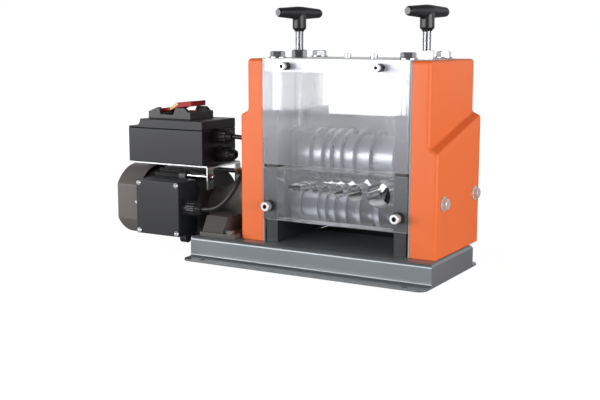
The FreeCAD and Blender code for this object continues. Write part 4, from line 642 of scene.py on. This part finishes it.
on_top = [((x, y, PLATE_TOP), UP) for x, y in pillar_spots]
bolts = set_out("pillar_bolt_heads", hexagon_fixing, on_top, "machine", zinc, edge=0.0002, Across_flats=18,
                Start=2, Height=7.5, Shank=12, Shank_length=96)
rings = set_out("pillar_washers", washer, on_top, "machine", zinc, edge=0.0001, Bore=12.1, Outer=24,
                Thickness=2, Roundness=0.4)
for piece in (bolts, rings):
    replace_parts(piece, "pillar_bolts")

# On the middle of the top plate stand two small cap screws, and a lock nut for each adjusting screw.
# All four are zinc plated steel.

SMALL_APART = 20.4
small_spots = [((CENTRE_X + way * SMALL_APART, CENTRE_Y, PLATE_TOP), UP) for way in (-1, 1)]
screws = set_out("top_cap_screws_turned", cap_screw, small_spots, "machine", zinc, Head=10, Height=6,
                 Ribs=24, Socket=5, Socket_depth=3, Shank=6, Shank_length=8)
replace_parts(screws, "top_cap_screws")
lock_spots = [((x, CENTRE_Y, PLATE_TOP), UP) for x in FRAMES_X]
nuts = set_out("lock_nuts_chamfered", hexagon_fixing, lock_spots, "machine", zinc, edge=0.0002,
               Across_flats=19, Start=0, Height=11, Bore=12.1)
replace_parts(nuts, "lock_nuts")

# The two adjusting screws have a fine thread above a round collar, which turns in the bearing block.
# They are plated, and stand in the lock nuts on the top plate.

RINGS_PER_PITCH = 8.0
tree, given = start_tree("adjusting screw", ("Thread", "Pitch", "Thread depth", "Collar", "Collar height",
                                             "Height"))
steps = times(tree, sum_of(tree, "DIVIDE", given["Height"], given["Pitch"]), RINGS_PER_PITCH)
steps = node(tree, "FunctionNodeFloatToInt", {0: steps}).outputs[0]
blank = node(tree, "GeometryNodeMeshCylinder", {
    "Vertices": 40, "Side Segments": steps, "Radius": times(tree, given["Thread"], 0.5),
    "Depth": given["Height"]}).outputs["Mesh"]
spot = node(tree, "GeometryNodeInputPosition").outputs[0]
parts = node(tree, "ShaderNodeSeparateXYZ", {0: spot}).outputs
turn_part = sum_of(tree, "DIVIDE", sum_of(tree, "ARCTAN2", parts["Y"], parts["X"]), 2 * math.pi)
phase = plus(tree, sum_of(tree, "DIVIDE", parts["Z"], given["Pitch"]), turn_part)
wave = sum_of(tree, "PINGPONG", times(tree, phase, 2.0), 1.0)
sink = sum_of(tree, "DIVIDE", times(tree, wave, given["Thread depth"]), given["Thread"])
narrow = minus(tree, 1.0, times(tree, sink, 2.0))
cut = node(tree, "ShaderNodeVectorMath", {0: spot, 1: vector(tree, narrow, narrow, 1.0)},
           operation="MULTIPLY").outputs[0]
lifted = vector(tree, z=times(tree, given["Height"], 0.5))
thread = node(tree, "GeometryNodeSetPosition", {0: blank, "Position": cut, "Offset": lifted}).outputs[0]
collar = barrel(tree, given["Collar"], 0.0, given["Collar height"], 64)
adjusting_screw = repeat(tree, given, join(tree, thread, collar))
for side, x in zip(("left", "right"), FRAMES_X):
    low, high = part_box(side + "_screw")
    foot = [((x, CENTRE_Y, low[2] * 1000), UP)]
    screw = set_out(side + "_screw_threaded", adjusting_screw, foot, side + "_adjuster", zinc, edge=0,
                    Thread=12, Pitch=1.75, Thread_depth=1.0, Collar=16, Collar_height=4.7,
                    Height=(high[2] - low[2]) * 1000)
    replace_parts(screw, side + "_screw")

# The T handles are moulded in black plastic round the screws' ends, so the bar flows into its hub.
# A paler plug closes each end of the bar.


def moulded(node_name, material, grain, rounds):
    """A CAD solid remade as one even skin and smoothed, so that its parts run into each other."""
    piece = copy_solid(node_name, "_moulded")
    skin = piece.modifiers.new("skin", "REMESH")
    skin.mode = "VOXEL"
    skin.voxel_size = grain
    skin.use_smooth_shade = True
    flow = piece.modifiers.new("flow", "SMOOTH")
    flow.iterations = rounds
    piece.data.materials.append(material)
    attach(piece, frame["nodes"][node_name]["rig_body"])
    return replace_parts(piece, node_name)


black_plastic = finish("black moulded plastic", (0.010, 0.010, 0.0115), 0.33, grain=1600, shade=0.08,
                       depth=0.012)
plug_plastic = finish("grey plug plastic", (0.20, 0.20, 0.21), 0.4, grain=1600, shade=0.06)
BAR_RADIUS, BAR_REACH, BAR_TURN = 9, 43.3, 77
tree, given = start_tree("plug", ("Plug", "Thickness"))
end_plug = repeat(tree, given, barrel(tree, given["Plug"], 0.0, given["Thickness"], 48))
for side, x, half_turn in zip(("left", "right"), FRAMES_X, (180, 0)):
    moulded(side + "_handle", black_plastic, grain=0.0006, rounds=10)
    low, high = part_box(side + "_handle")
    middle = Vector((x, CENTRE_Y, high[2] * 1000 - BAR_RADIUS))
    across = math.radians(BAR_TURN + half_turn)
    out = Vector((math.cos(across), math.sin(across), 0))
    ends = [(middle + out * way * BAR_REACH, out * way) for way in (-1, 1)]
    plugs = set_out(side + "_handle_plugs", end_plug, ends, side + "_adjuster", plug_plastic, Plug=9.4,
                    Thickness=0.35)
    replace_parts(plugs, side + "_handle")

# The rear plates close the machine above and below the outlet.
# Both are ground steel, as dark as the frames.

for part in ("rear_plate", "lower_rear_plate"):
    deburr(part, frame_steel, edge=0.0004)

# The lower rear plate stands on a folded foot, a flat strip of the same steel.
# It closes the gap between the top of the base and its rear fold.

FOOT_LEFT, FOOT_RIGHT, FOOT_FRONT, FOOT_BACK, BASE_TOP = -53.5, 122.5, 60, 96, 32.02
form = bmesh.new()
form.faces.new([form.verts.new((x / 1000, y / 1000, BASE_TOP / 1000))
                for x, y in ((FOOT_LEFT, FOOT_FRONT), (FOOT_RIGHT, FOOT_FRONT),
                             (FOOT_RIGHT, FOOT_BACK), (FOOT_LEFT, FOOT_BACK))])
foot = keep("lower_rear_plate_foot", form, frame_steel, "machine", "lower_rear_plate")
sheet = foot.modifiers.new("sheet", "SOLIDIFY")
sheet.thickness = 0.0016
sheet.offset = 1
break_edges(foot, 0.0004)

# The upper guard and the feed guide are clear acrylic with a fine haze, so they veil what is behind them.
# The guide's bores have fine streaks along them, and its top and bottom edges are sawn.

ACRYLIC_IOR = 1.49


def acrylic(name, low, high, haze_and_sheen_low, haze_and_sheen_high, edge_sheen, rough=0.03):
    """Clear acrylic. The share of light that its haze scatters runs from the low share at the height low, in
    metres, to the high share at the height high, and is the edge factor times as much near both side edges.
    The fine haze is real; its rise with height and near the side edges is painted sheen."""
    made = bpy.data.materials.new(name)
    made.use_nodes = True
    tree = made.node_tree
    shader = tree.nodes["Principled BSDF"]
    shader.inputs["Base Color"].default_value = (0.97, 0.98, 1, 1)
    shader.inputs["IOR"].default_value = ACRYLIC_IOR
    shader.inputs["Transmission Weight"].default_value = 1
    spot = node(tree, "ShaderNodeTexCoord").outputs["Object"]
    smear = node(tree, "ShaderNodeTexNoise", {"Vector": spot, "Scale": 22, "Detail": 6}).outputs[0]
    tree.links.new(ramp(tree, smear, 0.3, 0.7, rough, rough + 0.05), shader.inputs["Roughness"])
    place = node(tree, "ShaderNodeSeparateXYZ", {0: spot}).outputs
    # Painted sheen: the haze's share grows with height and near both side edges, as light falls on the sheet.
    share = ramp(tree, place["Z"], low, high, haze_and_sheen_low, haze_and_sheen_high, "SMOOTHSTEP")
    aside = sum_of(tree, "ABSOLUTE", minus(tree, place["X"], CENTRE_X / 1000))
    share = times(tree, share, ramp(tree, aside, 0.07, 0.09, 1, edge_sheen))
    share = times(tree, share, ramp(tree, smear, 0.3, 0.7, 0.94, 1.06))
    inside = node(tree, "ShaderNodeNewGeometry").outputs["Backfacing"]
    share = sum_of(tree, "MAXIMUM", minus(tree, share, inside), 0)
    haze = node(tree, "ShaderNodeBsdfDiffuse", {"Color": (0.90, 0.92, 1, 1)}).outputs[0]
    passing = node(tree, "ShaderNodeBsdfTransparent", {"Color": (0.86, 0.87, 0.88, 1)}).outputs[0]
    shadow = node(tree, "ShaderNodeLightPath").outputs["Is Shadow Ray"]
    look = mix(tree, shadow, mix(tree, share, shader.outputs[0], haze), passing)
    tree.links.new(look, tree.nodes["Material Output"].inputs["Surface"])
    return made


guard_acrylic = acrylic("hazed acrylic", low=0.14, high=0.24, haze_and_sheen_low=0.11, haze_and_sheen_high=0.19, edge_sheen=1.8)
guide_acrylic = acrylic("clear acrylic", low=0.06, high=0.14, haze_and_sheen_low=0.05, haze_and_sheen_high=0.10, edge_sheen=1)
bore_wall = finish("drilled acrylic", (0.95, 0.96, 0.98), 0.12, grain=420, shade=0.04, spread=0.08,
                   stretch=(1, 0.05, 1), depth=0.3)
sawn_edge = finish("sawn acrylic edge", (0.97, 0.97, 0.99), 0.34, grain=260, shade=0.5, spread=0.2,
                   stretch=(0.12, 1, 1), depth=0.3)
for surface, share in ((bore_wall, 1), (sawn_edge, 0.75)):
    shader = surface.node_tree.nodes["Principled BSDF"]
    shader.inputs["Transmission Weight"].default_value = share
    shader.inputs["IOR"].default_value = ACRYLIC_IOR
deburr("upper_guard", guard_acrylic, edge=0.0004)
guide = deburr("feed_guide", guide_acrylic, edge=0.0009)
guide.data.materials.append(bore_wall)
guide.data.materials.append(sawn_edge)
BORES_Z, GUIDE_HALF_HEIGHT = 111, 20

# A face whose middle lies this near to a bore's wall belongs to it. Wide bores have wider flat faces.
WALL_REACH, WALL_REACH_SHARE = 0.25, 0.03
for face in guide.data.polygons:
    spot = face.center * 1000
    if abs(face.normal.z) > 0.99 and abs(spot.z - BORES_Z) > GUIDE_HALF_HEIGHT:
        face.material_index = 2
    for middle, half in bores:
        off = math.hypot(spot.x - middle, spot.z - BORES_Z)
        if abs(off - half) < WALL_REACH + half * WALL_REACH_SHARE and abs(face.normal.y) < 0.3:
            face.material_index = 1

# Two long cap screws in black sleeves hold the guard, and two thicker ones hold the guide.
# The sleeves are black rubber, and keep both clear of the screws' heads.

# Painted shade: a near-black finish for the insides of the screws' hexagon sockets, where shade falls.
hollow = finish("painted socket shade", (0.012, 0.012, 0.013), 0.5, grain=900, shade=0.1)

# A face is in a socket if it lies above the head's foot, below its rim, and nearer the axis than a corner.
HEAD_START, RIM_DEPTH, SOCKET_REACH = 0.4, 0.15, 0.56


def paint_shade_in_sockets(piece, spots, height, socket):
    """Give the inside of every hexagon socket a dark surface: painted shade, for the deep socket that lies in
    shade.
    """
    piece.data.materials.append(hollow)
    for face in piece.data.polygons:
        for spot, axis in spots:
            arm = face.center * 1000 - Vector(spot)
            along = arm.dot(Vector(axis))
            off = (arm - Vector(axis) * along).length
            if HEAD_START < along < height - RIM_DEPTH and off < socket * SOCKET_REACH:
                face.material_index = len(piece.data.materials) - 1
    return piece


black_rubber = finish("black sleeve rubber", (0.014, 0.014, 0.015), 0.5, grain=1300, shade=0.08)
CLEAR_FRONT, SHANK_IN, FORWARD = -55, 21, (0, -1, 0)
GUARD_SLEEVE, GUARD_SCREW_Z, GUARD_SCREWS_APART = 10.5, 276, 69.5
GUIDE_SLEEVE, GUIDE_SCREW_Z = 7, 84.2
guard_spots = [((CENTRE_X + way * GUARD_SCREWS_APART, CLEAR_FRONT - GUARD_SLEEVE, GUARD_SCREW_Z), FORWARD)
               for way in (-1, 1)]
guide_spots = [((x, CLEAR_FRONT - GUIDE_SLEEVE, GUIDE_SCREW_Z), FORWARD) for x in FRAMES_X]
screws = set_out("guard_screws_turned", cap_screw, guard_spots, "machine", plated_steel, Head=10, Height=6,
                 Ribs=24, Socket=5, Socket_depth=3, Shank=6, Shank_length=SHANK_IN + GUARD_SLEEVE)
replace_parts(paint_shade_in_sockets(screws, guard_spots, 6, 5), "guard_screws")
screws = set_out("guide_screws_turned", cap_screw, guide_spots, "machine", plated_steel, Head=13, Height=8,
                 Ribs=30, Socket=6, Socket_depth=4, Shank=8, Shank_length=SHANK_IN + GUIDE_SLEEVE)
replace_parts(paint_shade_in_sockets(screws, guide_spots, 8, 6), "guide_screws")
sleeves = bmesh.new()
for spot, axis in guard_spots:
    turn(sleeves, tube(0, GUARD_SLEEVE, 3.05, 5.35), "Y", spot, 48)
for spot, axis in guide_spots:
    turn(sleeves, tube(0, GUIDE_SLEEVE, 4.05, 7.5), "Y", spot, 64)
keep("screw_sleeves_cut", sleeves, black_rubber, "machine", "screw_sleeves")

# The side plates: light grey sheet that closes the inner side of each cover.
# The gears' hubs pass through the right one.

sheet_paint = finish("light grey paint", (0.33, 0.335, 0.35), 0.42, shade=0.04)
for side in ("left", "right"):
    deburr(side + "_side_panel", sheet_paint, edge=0.0003)

# The side covers: folded and welded sheet, powder coated in orange with a faint orange-peel skin.
# A narrow ledge slopes down across each one from the back to the front.

orange_coat = finish("orange powder coat", (0.88, 0.168, 0.036), 0.42, grain=800, shade=0.03, spread=0.04,
                     depth=0.03, shine=0.35)
for side in ("left", "right"):
    deburr(side + "_cover", orange_coat, edge=0.0007, corner=20)

# Each cover hangs on two hexagon bolts with washers, over a long tube inside it and a short one behind it.
# All are plated steel, and the bolts end in the side frame.

COVER_FACES, COVER_BOLTS_Y, COVER_BOLTS_Z = ((-114, -1), (183, 1)), (-31, 81), 103
COVER_TUBES, PANEL_TUBES = ((-112, -77), (146, 181)), ((-75, -72), (141, 144))
side_spots = [((x, y, COVER_BOLTS_Z), (way, 0, 0)) for x, way in COVER_FACES for y in COVER_BOLTS_Y]
bolts = set_out("cover_bolt_heads", hexagon_fixing, side_spots, "machine", plated_steel, edge=0.0002,
                Across_flats=13, Start=2, Height=5.3, Shank=8, Shank_length=54)
rings = set_out("cover_washers", washer, side_spots, "machine", plated_steel, edge=0.0001, Bore=8.1, Outer=20,
                Thickness=2, Roundness=0.4)
for piece in (bolts, rings):
    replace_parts(piece, "cover_bolts")
for name, spans in (("cover_spacers", COVER_TUBES), ("panel_spacers", PANEL_TUBES)):
    form = bmesh.new()
    for start, end in spans:
        for y in COVER_BOLTS_Y:
            turn(form, tube(start, end, 4.05, 7), "X", (0, y, COVER_BOLTS_Z), 48)
    keep(name + "_cut", form, plated_steel, "machine", name)

# The gear housing: a black painted casting that flares from the motor to a wide round flange.
# Its foot is cast on, with a sloped arm, and two bolts hold it to the base.

cast_paint = finish("black casting paint", (0.100, 0.094, 0.088), 0.27, grain=700, shade=0.06, depth=0.02,
                    coat=0.2)
deburr("gear_housing", cast_paint, edge=0.0008, corner=24)
FOOT_BOLT_X, FOOT_BOLTS_Y, FOOT_TOP = -128, (-58.5, 63.5), 38
foot_spots = [((FOOT_BOLT_X, y, FOOT_TOP), UP) for y in FOOT_BOLTS_Y]
nut_spots = [((FOOT_BOLT_X, y, SHEET_UNDERSIDE), DOWN) for y in FOOT_BOLTS_Y]
heads = set_out("foot_bolt_heads", hexagon_fixing, foot_spots, "machine", zinc, edge=0.0002, Across_flats=13,
                Start=0, Height=5.3, Shank=8, Shank_length=17)
nuts = set_out("foot_nuts", hexagon_fixing, nut_spots, "machine", zinc, edge=0.0002, Across_flats=13, Start=0,
               Height=6.4, Bore=8.1)
for piece in (heads, nuts):
    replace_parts(piece, "foot_bolts")

# The motor: a finned tube in black paint, with bosses for the bracket's studs.
# Its steel shaft runs back into the cooling fan, which is black plastic.

motor_paint = finish("black motor paint", (0.022, 0.0215, 0.021), 0.38, grain=700, shade=0.1, depth=0.05)
deburr("motor_housing", motor_paint, edge=0.0005)
deburr("motor_shaft", bright_steel, edge=0.0003)
deburr("cooling_fan", black_plastic, edge=0.0003)

# The fan cover: deep drawn sheet with a flat front and back, painted warm grey.
# A pan-head screw on each flat holds it, domed, with a cross recess for the driver.

cap_paint = finish("warm grey paint", (0.150, 0.138, 0.132), 0.33, grain=900, shade=0.05, depth=0.02)
deburr("fan_cover", cap_paint, edge=0.0005, corner=24)

tree, given = start_tree("pan screw", ("Head", "Rise", "Shank", "Shank length"))
radius = times(tree, given["Head"], 0.5)
squares = plus(tree, times(tree, radius, radius), times(tree, given["Rise"], given["Rise"]))
ball = sum_of(tree, "DIVIDE", squares, times(tree, given["Rise"], 2.0))
dome = node(tree, "GeometryNodeMeshUVSphere", {"Segments": 64, "Rings": 64, "Radius": ball}).outputs["Mesh"]
dome = raised(tree, dome, minus(tree, given["Rise"], ball))
rim = barrel(tree, times(tree, given["Head"], 0.97), 0.0, given["Rise"], 64)
head = combine(tree, "INTERSECT", dome, rim)
long_side = times(tree, given["Head"], 0.62)
short_side = times(tree, given["Head"], 0.13)
for sizes in ((long_side, short_side), (short_side, long_side)):
    bar = node(tree, "GeometryNodeMeshCube", {"Size": vector(tree, *sizes, given["Rise"])}).outputs["Mesh"]
    head = combine(tree, "DIFFERENCE", head, raised(tree, bar, times(tree, given["Rise"], 0.95)))
shank = barrel(tree, given["Shank"], times(tree, given["Shank length"], -1.0), BITE, 24)
pan_screw = repeat(tree, given, join(tree, head, shank))

FAN_SCREW_X, FLAT_HALF, MOTOR_Z = -325, 48.5, 63
cap_spots = [((FAN_SCREW_X, CENTRE_Y + way * FLAT_HALF, MOTOR_Z), (0, way, 0)) for way in (-1, 1)]
screws = set_out("fan_cover_screws", pan_screw, cap_spots, "machine", plated_steel, edge=0.0001, Head=7,
                 Rise=2.2, Shank=4, Shank_length=1.4)
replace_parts(screws, "fan_cover")

# The terminal box on the motor's front: dark moulded plastic with a flat lid.
# Four pan-head screws hold the lid at its corners.

box_plastic = finish("dark grey plastic", (0.0080, 0.0088, 0.0122), 0.36, grain=1100, shade=0.05, depth=0.03)
for part in ("junction_box", "junction_lid"):
    deburr(part, box_plastic, edge=0.0008)
LID_FRONT, LID_SCREWS_X, LID_SCREWS_Z = -70, (-282.5, -214.5), (31, 102)
lid_spots = [((x, LID_FRONT, z), FORWARD) for x in LID_SCREWS_X for z in LID_SCREWS_Z]
screws = set_out("junction_screws_turned", pan_screw, lid_spots, "machine", plated_steel, edge=0.0001, Head=8,
                 Rise=3, Shank=4, Shank_length=8)
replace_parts(screws, "junction_screws")

# The switch bracket: zinc plated sheet, bent down at its right end into two tabs.
# Each tab is held between a tube and a nut on a stud that comes from the motor.

bracket_zinc = finish("dull zinc", (0.60, 0.60, 0.61), 0.3, metal=1, grain=1500, shade=0.12, depth=0.01)
deburr("switch_bracket", bracket_zinc, edge=0.0003)
STUDS_Y, STUDS_Z, STUD, STUD_EDGE = (-15, 65), 110, 3, 0.5
STUD_START, STUD_END, TUBE_START, TUBE_END, NUT_START = -239, -185.5, -233, -195.5, -193
studs = bmesh.new()
for y in STUDS_Y:
    turn(studs, [(STUD_START, 0), (STUD_START, STUD - STUD_EDGE), (STUD_START + STUD_EDGE, STUD),
                 (STUD_END - STUD_EDGE, STUD), (STUD_END, STUD - STUD_EDGE), (STUD_END, 0)],
         "X", (0, y, STUDS_Z), 40, shut=False)
    turn(studs, tube(TUBE_START, TUBE_END, 3.05, 3.75, 0.2), "X", (0, y, STUDS_Z), 48)
nut_spots = [((NUT_START, y, STUDS_Z), (1, 0, 0)) for y in STUDS_Y]
nuts = set_out("stud_nuts", hexagon_fixing, nut_spots, "machine", zinc, edge=0.0002, Across_flats=10, Start=0,
               Height=4.8, Bore=6.1)
for piece in (keep("bracket_studs_turned", studs, bright_steel, "machine"), nuts):
    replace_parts(piece, "bracket_studs")

# The switch box and its lid, which ends in a hollow curve on the left.
# Both are the same dark plastic, with a fine seam between them.

switch_plastic = finish("dark grey switch plastic", (0.0075, 0.0082, 0.0114), 0.36, grain=1100, shade=0.05,
                        depth=0.03, shine=0.4)
for part in ("switch_box", "switch_lid"):
    deburr(part, switch_plastic, edge=0.0012)

# The paddle switch: a black base with two raised humps, a green start button and a red stop button.
# The buttons stand in round collars in its well.

button_green = finish("green button plastic", (0.03, 0.26, 0.07), 0.3, grain=1500, shade=0.05)
button_red = finish("red button plastic", (0.42, 0.012, 0.012), 0.28, grain=1500, shade=0.05)
deburr("switch_base", black_plastic, edge=0.0006)
deburr("start_button", button_green, edge=0.0008)
deburr("stop_button", button_red, edge=0.0008)

# The stop flap: a red moulded paddle, bent upward near its hinge.
# A yellow warning strip is laid over the bend and down both sides; its corners are given from the hinge.

flap_red = finish("red flap plastic", (0.40, 0.006, 0.006), 0.42, grain=1500, shade=0.06, shine=0.3)
deburr("stop_flap", flap_red, edge=0.0006)
strip_yellow = finish("yellow strip", (0.80, 0.62, 0.22), 0.4, grain=1500, shade=0.05)
HINGE_X, HINGE_Z, STRIP_FRONT, STRIP_BACK, STRIP_THICK = -300, 203.5, 6.3, 43.7, 0.4
top_left, top_right = (19, 4.0), (33.4, 12.9)
low_left, low_right = (20.6, 0.6), (35.6, 9.6)
under_right, under_left = ((x + STRIP_THICK / 2, z - STRIP_THICK) for x, z in (top_right, top_left))
over_face = (top_left, top_right, under_right, under_left)
down_side = (top_left, top_right, low_right, low_left)
strip = bmesh.new()
for front, back, corners in ((STRIP_FRONT, STRIP_BACK, over_face),
                             (STRIP_FRONT, STRIP_FRONT + STRIP_THICK, down_side),
                             (STRIP_BACK - STRIP_THICK, STRIP_BACK, down_side)):
    ends = [[strip.verts.new(Vector((HINGE_X + x, y, HINGE_Z + z)) / 1000) for x, z in corners]
            for y in (front, back)]
    for face in ends:
        strip.faces.new(face)
    for step in range(len(corners)):
        strip.faces.new((ends[0][step - 1], ends[0][step], ends[1][step], ends[1][step - 1]))
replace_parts(keep("flap_strip", strip, strip_yellow, "flap"), "stop_flap")

# Cable glands: a hexagon on the wall, a fluted nut and a round mouth that grips the cable.
# All are black plastic, and the lowest opening of the switch box is the mains inlet, whose mouth is empty.

# The rounded mouth's walls, taper and depth, and the length of the stem in the wall, in metres.
MOUTH_WALLS, MOUTH_TAPER, MOUTH_DEPTH, STEM_LENGTH = 0.005, 0.0028, 0.009, 0.005
tree, given = start_tree("gland", ("Hexagon", "Hexagon height", "Nut", "Ribs", "Length", "Mouth", "Stem"))
flange = hexagon_form(tree, given["Hexagon"], 0.0, given["Hexagon height"], given["Hexagon height"], 0.98)
nut_end = times(tree, given["Length"], 0.74)
nut_depth = minus(tree, nut_end, given["Hexagon height"])
nut_middle = times(tree, plus(tree, nut_end, given["Hexagon height"]), 0.5)
fluted = ribbed(tree, given["Nut"], nut_depth, nut_middle, given["Ribs"], 0.06)
dome = barrel(tree, plus(tree, given["Mouth"], MOUTH_WALLS), nut_end, given["Length"], 72, MOUTH_TAPER)
core = barrel(tree, times(tree, given["Nut"], 0.9), given["Hexagon height"], plus(tree, nut_end, 2 * BITE),
              72)
hole = barrel(tree, given["Mouth"], minus(tree, given["Length"], MOUTH_DEPTH),
              plus(tree, given["Length"], PAST))
mouth = combine(tree, "DIFFERENCE", combine(tree, "UNION", dome, core), hole)
stem = barrel(tree, given["Stem"], -STEM_LENGTH, BITE, 48)
gland = repeat(tree, given, join(tree, flange, fluted, mouth, stem))
SWITCH_LEAD, MAINS_INLET, TERMINAL_LEAD = (-200, 13.4, 168.7), (-200, 21, 141), (-210, -54, 68.6)
gland_spots = [(spot, (1, 0, 0)) for spot in (SWITCH_LEAD, MAINS_INLET, TERMINAL_LEAD)]
glands = set_out("cable_glands_fluted", gland, gland_spots, "machine", black_plastic, edge=0.0003, Hexagon=22,
                 Hexagon_height=9, Nut=22, Ribs=16, Length=30, Mouth=8, Stem=16)
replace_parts(glands, "cable_glands")

# The motor lead: a round black cable from the switch box, down behind the left cover, to the terminal box.
# It has a rubber sheath, and leaves both glands straight.

lead_rubber = finish("black cable sheath", (0.013, 0.013, 0.014), 0.34, grain=1800, shade=0.06, depth=0.01)
LEAD_DIAMETER = 0.007
ROUTE = ((-180, -54, 68.6), (-164, -54, 68.6), (-147, -50.5, 77), (-134, -45.5, 93), (-125.5, -38, 113),
         (-121, -22, 134), (-125, -4.5, 153), (-138.5, 8.5, 165.5), (-155, 13.4, 168.7), (-170, 13.4, 168.7))
route = bpy.data.curves.new("motor_lead_drawn", "CURVE")
route.dimensions = "3D"
line = route.splines.new("NURBS")
line.points.add(len(ROUTE) - 1)
for point, spot in zip(line.points, ROUTE):
    point.co = (*(Vector(spot) / 1000), 1)
line.order_u = 3
line.use_endpoint_u = True
line.resolution_u = 12
route.bevel_depth = LEAD_DIAMETER / 2
route.bevel_resolution = 8
route.use_fill_caps = True
route.materials.append(lead_rubber)
lead = bpy.data.objects.new("motor_lead_drawn", route)
scene.collection.objects.link(lead)
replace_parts(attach(lead, "machine"), "motor_lead")
